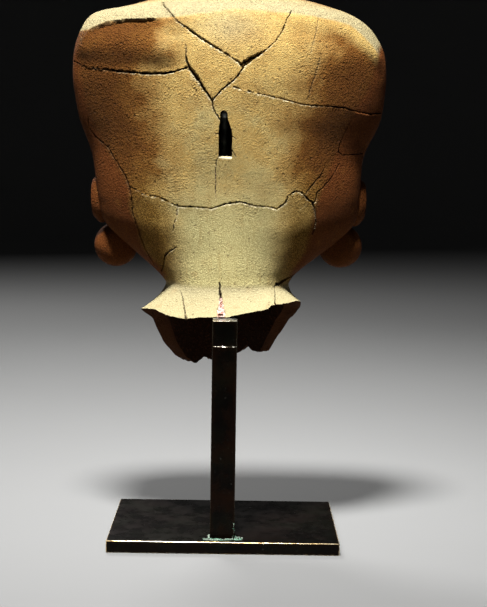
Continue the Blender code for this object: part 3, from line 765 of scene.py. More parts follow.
def bandRelief(x, z, halfWidth):
    bottom, top = face["bandBottom"], face["bandTop"]
    side = np.abs(x)
    middle = (bottom + top) / 2.0
    lift = 1.6 * smoothStep(z - bottom + 2.0, 0.0, 3.0) * smoothStep(top + 2.0 - z, 0.0, 3.0)
    for level in (bottom + 2.5, top - 2.5):
        roll = ridge(z - level, 2.6)
        twist = repeatDistance(x + 0.9 * (z - level), face["cordPitch"])
        lift += 2.2 * roll - 1.3 * roll * ridge(twist - face["cordPitch"] / 2.0, 0.9)
    for centre, radius in ((0.0, 13.5), (0.66 * halfWidth, 9.5)):
        away = np.hypot(side - centre, z - middle)
        lift += 2.6 * smoothStep(radius - away, 0.0, 2.2)
        lift -= 1.5 * ridge(away - 0.70 * radius, 0.9)
        lift += 1.2 * smoothStep(0.36 * radius - away, 0.0, 1.4)
        turn = np.arctan2(z - middle, side - centre) / (2.0 * math.pi)
        studs = repeatDistance(turn, 1.0 / 12.0) * 2.0 * math.pi * radius
        lift += 0.7 * ridge(away - 0.52 * radius, 1.0) * smoothStep(studs, 1.0, 2.4)
    fret = np.zeros_like(x)
    for corners in fretBars:
        fret = np.maximum(fret, softBox(side, z - middle, corners))
    lift += 1.5 * fret * smoothStep(z - bottom, 5.0, 7.0) * smoothStep(top - z, 5.0, 7.0)
    hairLine = bottom - 10.5 - 0.0035 * x ** 2
    hair = smoothStep(z - hairLine, 0.0, 1.5) * smoothStep(bottom - z, -1.0, 1.0)
    combed = x + 0.12 * (z - bottom) * np.sign(x)
    gap = repeatDistance(combed, face["hairPitch"]) - face["hairPitch"] / 2.0
    return lift + hair * (1.4 - 1.2 * ridge(gap, 0.72))


def faceRelief(x, z):
    side = np.abs(x)
    brow = face["brow"] - 0.010 * (side - 22.0) ** 2
    lift = 2.4 * ridge(z - brow, 3.4) * ridge(side - 24.0, 20.0)
    lift -= 3.0 * bell(side, z, (face["eyeSpacing"] - 1.0, face["eye"] + 1.0), (16.0, 9.0))
    lift += 6.0 * bell(side, z, (36.0, face["noseBase"] - 2.0), (15.0, 13.0))
    lift += 3.5 * bell(side, z, (0.0, face["chin"] - 2.0), (13.0, 7.0))
    return lift + eyeRelief(side, z) + noseRelief(side, z) + mouthRelief(x, z)


def frontShare(angles):
    return smoothStep(-np.sin(angles) - 0.16, 0.0, 0.30)


# where the steep back turns over into the crown, and the swelling of the sherd left of it, behind
backForm = {
    "crownX": (-79.0, -74.7, -69.4, -63.1, -54.8, -41.4, -17.7, -1.6, 18.5, 35.7, 51.9, 64.8, 74.7),
    "crownZ": (136.9, 142.0, 147.0, 152.0, 154.4, 156.7, 158.9, 159.3, 155.7, 153.5, 152.1, 151.8, 148.0),
    "jointX": (22.7, 28.3, 33.5, 41.3, 54.2, 67.1, 74.4, 81.0),
    "jointZ": (128.2, 126.5, 125.4, 125.1, 125.9, 127.0, 128.4, 131.0),
    "swellX": (28.0, 41.0, 57.0, 67.0, 75.0),
    "swellZ": (137.4, 139.7, 143.0, 142.0, 140.7),
    "swell": 4.6,
    "crownStep": 2.4,
}


def backSwell(x, z):
    # unevenness of the hand-pressed back
    form = backForm
    edge = np.interp(x, form["crownX"], form["crownZ"])
    flanks = smoothStep(np.abs(x + 5.0), 14.0, 40.0) * smoothStep(40.0 - x, 0.0, 12.0)
    turn = smoothStep(z - edge, -11.0, -1.0) * smoothStep(edge + 1.2 - z, 0.0, 1.5)
    lift = (0.3 + form["crownStep"] * flanks) * turn * smoothStep(84.0 - np.abs(x), 0.0, 8.0)
    joint = np.interp(x, form["jointX"], form["jointZ"])
    top = np.interp(x, form["swellX"], form["swellZ"])
    left = smoothStep(x, 20.0, 38.0) * smoothStep(86.0 - x, 0.0, 9.0)
    rise = smoothStep((z - joint) / (top - joint), 0.0, 1.0) - 0.45 * smoothStep(z - top, 2.0, 9.0)
    lift += form["swell"] * left * rise * smoothStep(edge + 9.0 - z, 0.0, 8.0)
    lift += 0.9 * bell(x, z, (-50.0, 138.0), (20.0, 8.0)) - 0.9 * bell(x, z, (-62.0, 124.0), (14.0, 9.0))
    lift -= 0.6 * bell(x, z, (-30.0, 112.0), (16.0, 9.0)) + 0.8 * bell(x, z, (52.0, 112.0), (18.0, 9.0))
    lift += 0.7 * bell(x, z, (22.0, 96.0), (18.0, 14.0)) + 0.5 * bell(x, z, (-22.0, 74.0), (12.0, 9.0))
    return lift


def rowPositions(rows):
    positions = []
    for index in range(len(rows) - 1):
        rise = rows[index + 1][0] - rows[index][0]
        spread = abs(rows[index + 1][1] - rows[index][1])
        gap = next(gap for level, gap in headForm["rowGaps"] if rows[index][0] + rise / 2.0 < level)
        steps = max(1, round(math.hypot(rise, 0.4 * spread) / gap))
        positions += [index + step / steps for step in range(steps)]
    return positions


def outerRows(angles, rag):
    rows = np.array([station[:8] for station in stations])
    front = frontShare(angles)
    back = smoothStep(np.sin(angles), 0.0, 0.35)
    grid = []
    for index in range(headForm["neckRows"]):
        points = neckRow(angles, index / headForm["neckRows"], 0.0, 1.0, rag)
        chin = smoothStep(points[:, 2] - 4.0, 0.0, 8.0)
        points[:, 1] -= faceRelief(points[:, 0], points[:, 2]) * front * chin
        grid.append(points)
    for position in rowPositions(rows):
        station = splineRow(rows, position)
        points = sectionRow(tuple(station), angles)
        x, z = points[:, 0], points[:, 2]
        half = (station[1] + station[2]) / 2.0
        points[:, 1] -= (faceRelief(x, z) + bandRelief(x, z, half)) * front
        points[:, 1] += backSwell(x, z) * back
        grid.append(points)
    return grid


def cavityRow(rows, position, angles):
    # one wall thickness inside the plain surface, along its normal
    step = 0.01
    here = sectionRow(tuple(splineRow(rows, position)), angles)
    around = sectionRow(tuple(splineRow(rows, position)), angles + step) - here
    above = sectionRow(tuple(splineRow(rows, position + step)), angles) - here
    normal = np.cross(around, above)
    normal /= np.linalg.norm(normal, axis=1)[:, None]
    return here - normal * headForm["wall"]


def innerRows(angles, rag):
    rows = np.array([station[:8] for station in stations if station[8]])
    count = headForm["innerNeckRows"]
    grid = [neckRow(angles, index / count, headForm["wall"], 0.7, rag) for index in range(count)]
    steps = headForm["innerRowsPerSpan"]
    for index in range(1, (len(rows) - 1) * steps):
        grid.append(cavityRow(rows, index / steps, angles))
    return grid


def rimRings(outer, inner):
    # rough rings across the break, from the outer edge to the cavity
    rings = []
    count = headForm["rimRings"]
    for index in range(1, count + 1):
        share = index / (count + 1.0)
        ring = outer * (1.0 - share) + inner * share
        for point in ring:
            point[2] += 0.9 * noiseAt(point, 2.6, 4.0 + index) + 0.45 * noiseAt(point, 1.1, 9.0)
        rings.append(ring)
    return rings


def ringFaces(lower, upper, count, inward=False):
    index = np.arange(count)
    following = (index + 1) % count
    first = np.stack([lower + index, lower + following, upper + following], 1)
    second = np.stack([lower + index, upper + following, upper + index], 1)
    faces = np.concatenate([first, second])
    return faces[:, ::-1] if inward else faces


def makeHeadShell():
    middle = stations[8][:8]
    angles = np.concatenate([columnAngles(headForm["backColumns"], 0.0, middle),
                             columnAngles(headForm["frontColumns"], math.pi, middle)])
    count = len(angles)
    rag = headForm["rimRag"] * edgeRag(angles, 2.0)
    outer = outerRows(angles, rag)
    inner = innerRows(angles[::2], rag[::2])
    widened = np.repeat(inner[0], 2, axis=0)
    widened[1::2] = (inner[0] + np.roll(inner[0], -1, axis=0)) / 2.0
    rings = rimRings(outer[0], widened)
    crown = np.array([[0.0, -stations[-1][3], stations[-1][0]]])
    roof = crown - np.array([[0.0, 0.0, headForm["wall"]]])
    layers = outer + [crown] + rings + inner + [roof]
    starts = np.concatenate(([0], np.cumsum([len(layer) for layer in layers])))
    faces, slots = [], []

    def keep(part, slot):
        faces.append(part)
        slots.append(np.full(len(part), slot))

    for index in range(len(outer) - 1):
        keep(ringFaces(starts[index], starts[index + 1], count), 0)
    pole = starts[len(outer)]
    ring = np.arange(count)
    keep(np.stack([pole - count + ring, pole - count + (ring + 1) % count, np.full(count, pole)], 1), 0)
    firstRing = len(outer) + 1
    keep(ringFaces(starts[0], starts[firstRing], count, True), 2)
    for index in range(len(rings) - 1):
        keep(ringFaces(starts[firstRing + index], starts[firstRing + index + 1], count, True), 2)
    firstInner = firstRing + len(rings)
    halfCount = count // 2
    lastRing, innerStart = starts[firstInner - 1], starts[firstInner]
    ring = np.arange(halfCount)
    following = (ring + 1) % halfCount
    left, centre, right = lastRing + 2 * ring, lastRing + 2 * ring + 1, lastRing + (2 * ring + 2) % count
    keep(np.stack([innerStart + ring, centre, left], 1), 2)
    keep(np.stack([innerStart + ring, innerStart + following, centre], 1), 2)
    keep(np.stack([innerStart + following, right, centre], 1), 2)
    for index in range(len(inner) - 1):
        keep(ringFaces(starts[firstInner + index], starts[firstInner + index + 1], halfCount, True), 1)
    top = starts[-2]
    keep(np.stack([top - halfCount + following, top - halfCount + ring, np.full(halfCount, top)], 1), 1)
    points = toWorld(np.concatenate(layers))
    return meshFrom("headShell", points, np.concatenate(faces), np.concatenate(slots), clays)


ears = {"radii": (5.9, 8.5, 13.0), "inset": 69.6, "level": 59.0, "forward": 6.0, "lean": 4.0}
spools = {
    "radius": 12.0, "depth": 15.0, "inset": 61.2, "level": 34.2, "forward": 8.0, "turn": 14.0,
    "profile": ((0.0, 0.5), (0.34, 0.49), (0.62, 0.44), (0.82, 0.32), (0.93, 0.17), (1.0, -0.05),
                (0.985, -0.22), (0.95, -0.34), (0.89, -0.45), (0.80, -0.5), (0.71, -0.49), (0.64, -0.45),
                (0.583, -0.40), (0.50, -0.31), (0.38, -0.27), (0.30, -0.27), (0.24, -0.31), (0.12, -0.34),
                (0.0, -0.345)),
}


def makeEar(side):
    # an ellipsoid with a rolled rim, a hollow inside it and a lobe
    rings, columns = 35, 56
    around = np.arange(columns) / float(columns) * 2.0 * math.pi
    around, along = np.meshgrid(around, np.arange(1, rings + 1) / (rings + 1.0) * math.pi)
    local = np.stack([np.sin(along) * np.cos(around), np.sin(along) * np.sin(around), np.cos(along)], -1)
    local = local.reshape(-1, 3)
    local = np.concatenate([local, [[0.0, 0.0, 1.0], [0.0, 0.0, -1.0]]])
    radii = np.array(ears["radii"])
    points = local * radii
    away = np.hypot(local[:, 1] + 0.1, local[:, 2] - 0.08)
    outward = smoothStep(local[:, 0] * side, 0.0, 0.5)
    dip = 1.5 * ridge(away - 0.52, 0.13) + 1.9 * ridge(away, 0.26) - 0.6 * ridge(away - 0.74, 0.12)
    points[:, 0] -= side * dip * outward
    lean = math.radians(ears["lean"]) * side
    turned = points @ np.array(Matrix.Rotation(lean, 3, "Y")).T
    turned += np.array([side * ears["inset"], -ears["forward"], ears["level"]])
    return meshFrom("ear", toWorld(turned), poleFaces(rings, columns), None, clays)


def makeSpool(side):
    # a turned disc, rounded behind, with a rim, a cup and a boss in front
    knots = np.array(spools["profile"])
    fine = np.linspace(0.0, len(knots) - 1.0, 46)
    radius = np.interp(fine, np.arange(len(knots)), knots[:, 0]) * spools["radius"]
    along = np.interp(fine, np.arange(len(knots)), knots[:, 1]) * spools["depth"]
    columns = 64
    turn = np.arange(columns) / columns * 2.0 * math.pi
    rows = [np.stack([r * np.cos(turn), -a + 0.0 * turn, r * np.sin(turn)], 1)
            for r, a in zip(radius[1:-1], -along[1:-1])]
    points = np.concatenate(rows + [[[0.0, along[0], 0.0]], [[0.0, along[-1], 0.0]]])
    points = points @ np.array(Matrix.Rotation(math.radians(spools["turn"]) * side, 3, "Z")).T
    points += np.array([side * spools["inset"], -spools["forward"], spools["level"] + 0.8 * (side < 0)])
    return meshFrom("spool", toWorld(points), poleFaces(len(rows), columns), None, clays)


vent = {
    "width": 7.0, "height": 16.2, "bottom": 83.3, "offset": 1.7, "notchOffset": 2.7, "notchHeight": 7.0,
    "notchWidth": 3.8, "ledgeDrop": 1.35, "flare": 0.35, "middleY": 30.0, "reach": 14.0,
}


def makeVentCutter():
    # the vent's outline, with small nicks, widening a little to the outside over a sloping ledge
    half = vent["width"] / 2.0
    radius = vent["notchWidth"] / 2.0
    centre = vent["notchOffset"] - vent["offset"]
    arch = vent["height"] + vent["notchHeight"] - radius
    left, right = centre - radius, centre + radius
    outline = [(-half, 0.0), (-0.4 * half, -0.2), (0.3 * half, 0.1), (half - 0.1, 0.05), (half + 0.15, 1.2),
               (half, 2.6), (half + 0.05, 6.0), (half - 0.05, 9.3), (half + 0.1, 11.2), (half, 12.4),
               (half - 0.05, 15.4), (half - 0.5, 17.2), (right + 0.15, 18.4), (right, 19.2)]
    for index in range(11):
        angle = math.pi * index / 10
        outline.append((centre + radius * math.cos(angle), arch + radius * math.sin(angle)))
    outline += [(left - 0.1, 19.0), (left - 0.6, 17.8), (left - 1.2, 15.9), (-half + 0.5, 13.6),
                (-half + 0.15, 11.0), (-half + 0.05, 8.0), (-half + 0.1, 4.6), (-half - 0.1, 2.0)]
    outline = np.array(outline)[::-1]
    outward = outline - np.array([centre * 0.5, vent["height"] * 0.55])
    outward /= np.linalg.norm(outward, axis=1)[:, None]
    bottom = smoothStep(1.2 - outline[:, 1], 0.0, 1.2)
    layers = []
    for share in (0.0, 0.28, 0.5, 0.62, 0.72, 1.0):
        y = vent["middleY"] + (share - 0.5) * 2.0 * vent["reach"]
        grow = smoothStep(share, 0.45, 0.75)
        ring = outline + outward * vent["flare"] * grow
        ring[:, 1] -= vent["ledgeDrop"] * bottom * np.clip((share - 0.28) / 0.34, 0.0, 1.6)
        x, z = ring[:, 0] + vent["offset"], ring[:, 1] + vent["bottom"]
        layers.append(np.stack([x, np.full(len(ring), y), z], 1))
    count = len(outline)
    gaps = len(layers) - 1
    faces = gridFaces(gaps, count, turned=True)
    faces += [tuple(range(count))[::-1], tuple(range(gaps * count, (gaps + 1) * count))]
    isLow = outline[:, 1] < 0.5
    ledge = np.where(isLow & np.roll(isLow, -1), 0, 2)
    slots = np.concatenate([np.tile(ledge, gaps), [2, 2]])
    mesh = meshFrom("ventCutter", toWorld(np.concatenate(layers)), faces, slots, clays)
    turnOutward(mesh, triangles=True)
    return mesh


def joinHeadParts():
    head = linkObject("clayHead", makeHeadShell())
    added = bpy.data.collections.new("earParts")
    bpy.context.scene.collection.children.link(added)
    cutter = linkObject("ventCutter", makeVentCutter())
    for side in (1, -1):
        for mesh in (makeEar(side), makeSpool(side)):
            added.objects.link(bpy.data.objects.new(mesh.name, mesh))
    union = head.modifiers.new("ears and spools", "BOOLEAN")
    union.operation = "UNION"
    union.operand_type = "COLLECTION"
    union.collection = added
    union.solver = "EXACT"
    cutWith(head, "vent", cutter)
    bakeModifiers(head)
    for item in (cutter, *added.objects):
        bpy.data.objects.remove(item, do_unlink=True)
    bpy.data.collections.remove(added)
    return head


# cracks between the sherds: half width at the start, middle and end in millimetres, depth, and the line as
# seen from the camera, as x and z in millimetres on the plane y = planeY
crackForm = {
    "planeY": 0.014, "sample": 0.0004, "wander": 0.0003,
    "refineReach": (0.0018, 0.0010), "refineEdge": (0.00075, 0.00040),
    "waveHeight": 0.0007, "lipHighlightWidth": 0.0007,
}
cracks = {
    "crownLeft": (0.3, 0.85, 0.55, 2.4, ((35.4, 281.6), (32.2, 277.6), (27.0, 271.6), (22.9, 269.1),
        (18.2, 265.7), (13.0, 262.2), (7.8, 259.2), (1.1, 255.2), (-5.2, 251.2), (-7.3, 248.7))),
    "wedge": (0.9, 1.25, 0.25, 2.6, ((-6.0, 251.0), (-10.0, 253.2), (-14.0, 255.2), (-18.5, 258.4))),
    "crownRight": (0.5, 0.35, 0.25, 1.6, ((-6.8, 249.7), (-11.4, 252.6), (-16.5, 256.4), (-23.1, 262.2),
        (-27.1, 268.4), (-29.1, 274.5), (-31.6, 278.6))),
    "dotted": (0.22, 0.18, 0.4, 0.9, ((22.9, 268.6), (22.8, 260.0), (22.7, 253.9))),
    "wideLeft": (0.45, 1.05, 0.4, 2.4, ((22.7, 254.2), (22.2, 251.3), (20.6, 247.8), (17.4, 243.7),
        (13.8, 238.7), (9.0, 231.6))),
    "lowRight": (0.4, 0.45, 0.5, 1.8, ((9.0, 231.6), (3.9, 237.8), (-0.2, 240.9), (-3.2, 243.5),
        (-6.8, 248.7))),
    "toVent": (0.35, 0.3, 0.25, 1.2, ((9.0, 231.6), (7.9, 227.0), (4.7, 221.4))),
    "right": (0.42, 0.36, 0.3, 1.5, ((-2.3, 239.0), (-10.6, 236.5), (-16.8, 235.3), (-24.6, 233.7),
        (-31.4, 232.2), (-36.6, 230.7), (-43.4, 230.0), (-50.6, 229.9), (-60.0, 229.0), (-67.8, 226.9),
        (-74.0, 226.1), (-79.2, 226.7))),
    "left": (0.3, 0.75, 0.5, 2.0, ((81.1, 251.0), (74.4, 248.5), (67.1, 247.1), (54.2, 246.0),
        (41.3, 245.2), (33.5, 245.5), (28.3, 246.6), (22.0, 248.6))),
    "big": (0.42, 0.52, 0.48, 1.8, ((51.5, 186.5), (46.0, 184.5), (42.3, 182.2), (36.8, 181.7),
        (31.1, 179.0), (25.4, 176.6), (17.5, 176.7), (8.4, 175.9), (1.6, 178.3), (-6.3, 179.6),
        (-14.1, 177.6), (-20.9, 177.3), (-25.6, 176.2), (-30.1, 179.4), (-31.7, 183.3), (-34.9, 185.4),
        (-37.9, 185.1), (-40.7, 182.3), (-44.2, 179.6))),
    "bigRight": (0.35, 0.3, 0.2, 1.4, ((-44.2, 179.6), (-45.4, 180.2), (-46.3, 184.9), (-49.7, 188.0),
        (-53.5, 192.8), (-58.0, 200.6))),
    "branch": (0.45, 0.42, 0.28, 1.5, ((-44.2, 179.6), (-45.8, 174.4), (-46.1, 169.9), (-44.5, 163.0))),
    "faint": (0.2, 0.16, 0.1, 0.6, ((-42.0, 180.4), (-37.3, 176.1))),
    "rightLoop": (0.25, 0.22, 0.2, 1.0, ((-67.8, 226.6), (-63.7, 222.9), (-59.7, 215.4), (-57.5, 209.4),
        (-57.2, 206.4), (-58.9, 204.8), (-64.1, 205.1), (-70.2, 205.4))),
    "side": (0.3, 0.42, 0.3, 1.4, ((73.2, 222.4), (72.7, 216.7), (68.5, 211.6), (62.8, 207.1),
        (60.2, 202.5), (57.3, 197.8), (53.8, 192.3), (51.5, 186.5), (50.3, 179.8), (49.7, 173.0),
        (47.9, 167.4), (44.5, 158.4), (42.2, 152.7), (37.8, 145.4))),
    "scratch": (0.16, 0.2, 0.14, 0.35, ((-46.5, 254.4), (-44.1, 245.7), (-40.2, 232.8))),
    "dottedSeam": (0.18, 0.2, 0.16, 0.6, ((6.6, 201.2), (6.7, 190.8), (6.4, 180.9))),
    "lowerLeft": (0.5, 0.4, 0.3, 1.3, ((26.6, 177.5), (26.1, 175.8), (26.6, 172.3), (28.1, 166.5),
        (28.6, 163.4))),
    "leftHook": (0.3, 0.48, 0.32, 1.4, ((26.9, 155.3), (29.7, 153.9), (32.6, 150.8), (33.6, 145.5),
        (34.6, 142.3))),
    "rimGap": (0.28, 0.78, 0.95, 2.2, ((-38.5, 144.0), (-34.6, 141.2), (-30.2, 139.1), (-27.4, 136.9),
        (-25.3, 136.4))),
    "rimLeft": (0.12, 0.22, 0.5, 1.2, ((24.6, 133.0), (23.2, 129.3), (22.0, 122.2), (21.4, 117.6))),
    "rimRight": (0.3, 0.2, 0.3, 1.0, ((-25.1, 136.1), (-25.4, 130.6), (-25.5, 124.0))),
    "fill": (0.18, 0.9, 2.9, 1.4, ((3.6, 137.5), (3.8, 133.9), (3.0, 128.0), (2.9, 122.7), (2.9, 117.6))),
    # the ledge is the crease under the crown's overhanging edge; the dark paint of its groove is a painted
    # shadow
    "ledge": (0.75, 0.36, 0.12, 1.3, ((77.0, 259.7), (76.4, 263.6), (74.2, 266.6), (69.3, 269.0),
        (63.1, 271.1), (54.3, 272.2), (46.6, 272.3), (36.0, 273.2))),
    "ventLeft": (0.3, 0.2, 0.1, 0.8, ((5.0, 214.6), (6.7, 214.9), (8.0, 215.3))),
    "ventRight": (0.4, 0.3, 0.15, 1.0, ((-1.2, 214.2), (-2.2, 213.3), (-4.0, 212.1))),
    "ventLow": (0.3, 0.25, 0.1, 0.9, ((-1.9, 206.6), (-2.6, 205.0), (-4.0, 203.0))),
    "ventFoot": (0.15, 0.2, 0.1, 0.5, ((5.6, 202.6), (6.4, 200.4), (7.4, 198.8))),
    "rightStreak": (0.12, 0.24, 0.12, 0.7, ((-38.0, 181.6), (-43.7, 189.0), (-47.7, 193.7),
        (-52.8, 202.1))),
    "rightScar": (0.12, 0.2, 0.1, 0.5, ((-40.6, 184.5), (-45.7, 191.0), (-49.3, 195.3))),
    "upperScar": (0.1, 0.16, 0.1, 0.35, ((-45.5, 275.8), (-43.5, 265.0), (-41.3, 256.3))),
}

# how far one side of a crack stands proud: crack, side (1 above, -1 below), then lift and fading length
# in millimetres
sherdSteps = (
    ("big", -1, 0.55, 14.0), ("left", 1, 0.45, 4.0), ("right", -1, 0.35, 10.0), ("crownLeft", -1, 0.45, 8.0),
    ("crownRight", -1, 0.3, 8.0), ("ledge", 1, 2.0, 9.0),
)


def seenFrom():
    return Vector(cameraView["location"])


def projectLine(tree, points):
    # the drawn line, sampled finely, laid on the surface along the camera's rays
    eye = seenFrom()
    drawn = [Vector((x * 0.001, crackForm["planeY"], z * 0.001)) for x, z in points]
    laid = []
    for start, end in zip(drawn, drawn[1:]):
        steps = max(1, round((end - start).length / crackForm["sample"]))
        for index in range(steps):
            target = start.lerp(end, index / steps)
            target.x += crackForm["wander"] * noiseAt(target * 1000.0, 2.1, 1.0)
            target.z += crackForm["wander"] * noiseAt(target * 1000.0, 1.7, 6.0)
            hit = tree.ray_cast(eye, target - eye)[0]
            if hit:
                laid.append(hit)
    return laid


def layCracks(head):
    tree = BVHTree.FromPolygons([vertex.co.copy() for vertex in head.data.vertices],
                                [tuple(polygon.vertices) for polygon in head.data.polygons])
    curve = bpy.data.curves.new("crackLines", "CURVE")
    curve.dimensions = "3D"
    laid = {}
    for name, (startWidth, middleWidth, endWidth, depth, points) in cracks.items():
        line = projectLine(tree, points)
        laid[name] = line
        path = curve.splines.new("POLY")
        path.points.add(len(line) - 1)
        for index, (point, place) in enumerate(zip(path.points, line)):
            share = index / max(1, len(line) - 1)
            width = np.interp(share, (0.0, 0.5, 1.0), (startWidth, middleWidth, endWidth))
            rag = 0.55 * noiseAt(place * 1000.0, 1.6, 3.0) + 0.45 * noiseAt(place * 1000.0, 0.7, 8.0)
            width *= max(0.5, 1.0 + rag)
            point.co = (*place, 1.0)
            point.radius = max(width, 0.08) * 0.001
            point.tilt = depth * 0.001
    return linkObject("crackLines", curve), laid, layFill(tree)


def refineNear(mesh, laid):
    # shorter edges beside the cracks, so that they are cut cleanly
    places = [point for line in laid.values() for point in line]
    spots = kdtree.KDTree(len(places))
    for index, point in enumerate(places):
        spots.insert(point, index)
    spots.balance()
    builder = bmesh.new()
    builder.from_mesh(mesh)
    bmesh.ops.triangulate(builder, faces=[face for face in builder.faces if len(face.verts) > 3])
    for reach, shortest in zip(crackForm["refineReach"], crackForm["refineEdge"]):
        near = {vertex for vertex in builder.verts if spots.find(vertex.co)[2] < reach + shortest}
        chosen = []
        for edge in builder.edges:
            if edge.verts[0] in near or edge.verts[1] in near:
                middle = (edge.verts[0].co + edge.verts[1].co) / 2.0
                if edge.calc_length() > shortest and spots.find(middle)[2] < reach:
                    chosen.append(edge)
        bmesh.ops.subdivide_edges(builder, edges=chosen, cuts=1, use_grid_fill=False)
        bmesh.ops.triangulate(builder, faces=[face for face in builder.faces if len(face.verts) > 3])
    builder.to_mesh(mesh)
    builder.free()
    mesh.update()


def liftSherds(mesh):
    points, normals = meshArrays(mesh)
    x, z = points[:, 0] * 1000.0, points[:, 2] * 1000.0
    facing = smoothStep(normals[:, 1], 0.05, 0.4) * (points[:, 1] > axisY)
    lift = np.zeros(len(points))
    for name, side, height, reach in sherdSteps:
        line = np.array(cracks[name][4])
        line = line[np.argsort(line[:, 0])]
        above = z - np.interp(x, line[:, 0], line[:, 1])
        start, end = line[0, 0], line[-1, 0]
        ends = smoothStep(x, start - 2.0, start + 6.0) * smoothStep(-x, -end - 2.0, -end + 6.0)
        part = smoothStep(above * side, -0.12, 0.12) * np.exp(-np.abs(above) / reach)
        lift += height * part * ends
    points += normals * (lift * facing * 0.001)[:, None]
    mesh.vertices.foreach_set("co", points.astype(np.float32).ravel())
    mesh.update()


# half widths of the buff back left of the red front half (mould), and how far in from the outline the painted
# shade on the flanks begins (start) and is full, each at its levels
clayMasks = {
    "mouldLevels": (0.0, 20.0, 32.0, 53.0, 66.0, 78.0, 91.0, 102.0, 128.0, 150.0),
    "mouldLeft": (36.0, 34.0, 42.0, 49.5, 51.5, 57.0, 67.0, 73.0, 78.0, 82.0),
    "mouldRight": (36.0, 34.0, 40.0, 45.0, 47.5, 52.0, 58.0, 62.0, 75.0, 82.0),
    "flankShadeLevels": (60.0, 80.0, 102.0, 120.0, 134.0),
    "flankShadeLeft": {
        "side": 1, "start": (46.0, 50.0, 52.0, 54.0, 64.0), "full": (18.0, 20.0, 20.0, 20.0, 28.0)},
    "flankShadeRight": {
        "side": -1, "start": (44.0, 50.0, 58.0, 58.0, 52.0), "full": (14.0, 24.0, 28.0, 20.0, 8.0)},
}


def paintHead(mesh):
    # where the red front mould half, the greyish neck, the painted shade of the orange flanks and the pale
    # rim begin
    masks = clayMasks
    points, normals = meshArrays(mesh)
    x, y, z = points[:, 0] * 1000.0, points[:, 1] * 1000.0, (points[:, 2] - seatLevel) / unit
    fromAxis = y - axisY * 1000.0
    wander = np.array([2.2 * noiseAt(point, 0.014, 5.0) for point in points])
    left, right = (np.interp(z, masks["mouldLevels"], masks[name]) for name in ("mouldLeft", "mouldRight"))
    behind = smoothStep(fromAxis + wander, -14.0, -2.0)
    mouldEdge = smoothStep(np.maximum(x - left, -x - right) + wander, -1.5, 3.0)
    aboveRim = 1.0 - smoothStep(16.0 - z, 0.0, 4.0)
    storeValues(mesh, "mould", np.maximum(1.0 - behind, mouldEdge * aboveRim))
    # painted highlight: the vent's ledge made pale where it faces up to the light
    ledge = smoothStep(4.6 - np.abs(x - 1.7), 0.0, 0.8) * smoothStep(z, 80.6, 81.4)
    ledge = ledge * smoothStep(84.2 - z, 0.0, 0.5)
    storeValues(mesh, "pale", ledge * (normals[:, 2] > 0.35) * behind)
    neck = smoothStep(70.0 - z + 3.0 * wander, -12.0, 22.0) * smoothStep(36.0 - np.abs(x), 0.0, 20.0)
    storeValues(mesh, "neck", 0.85 * neck)
    storeValues(mesh, "smooth", smoothStep(60.0 - z + 2.0 * wander, -8.0, 20.0))
    outline = np.array([station[:3] for station in stations])
    # painted shade on the flanks, darker towards the outline, and a warm patch of it in the hollow above the
    # left joint
    fired = 0.62 * bell(x, z, (44.0, 134.0), (22.0, 9.0))
    for column, patch in ((1, masks["flankShadeLeft"]), (2, masks["flankShadeRight"])):
        side = patch["side"]
        inset = np.interp(z, outline[:, 0], outline[:, column]) - side * x + 2.5 * wander
        full, start = (np.interp(z, masks["flankShadeLevels"], patch[name]) for name in ("full", "start"))
        fired = np.maximum(fired, np.clip((start - inset) / (start - full), 0.0, 1.0) * (side * x > 0.0))
    crownEdge = np.interp(x, backForm["crownX"], backForm["crownZ"])
    fadeLeft = smoothStep(crownEdge + 3.0 - z, 0.0, 5.0)
    fadeRight = smoothStep(crownEdge - 2.0 - z, 0.0, 10.0)
    storeValues(mesh, "fired", 0.95 * fired * np.where(x > 0.0, fadeLeft, fadeRight))
    # cream on the flange is its own paler tone; cream above the crown's edge is a painted highlight where the
    # crown turns up to the light, and the top sherd is made paler in its middle
    lowRim = smoothStep(15.5 - z + 0.5 * wander, -1.5, 2.5)
    crown = smoothStep(z - crownEdge + 0.15 * wander, 0.0, 1.4) * 0.9
    sherd = 0.6 * bell(x, z, (2.0, 151.0), (17.0, 10.0))
    across = smoothStep(fromAxis + 2.0 * wander, -20.0, 4.0)
    storeValues(mesh, "rim", np.maximum(np.maximum(lowRim, crown), sherd) * across)


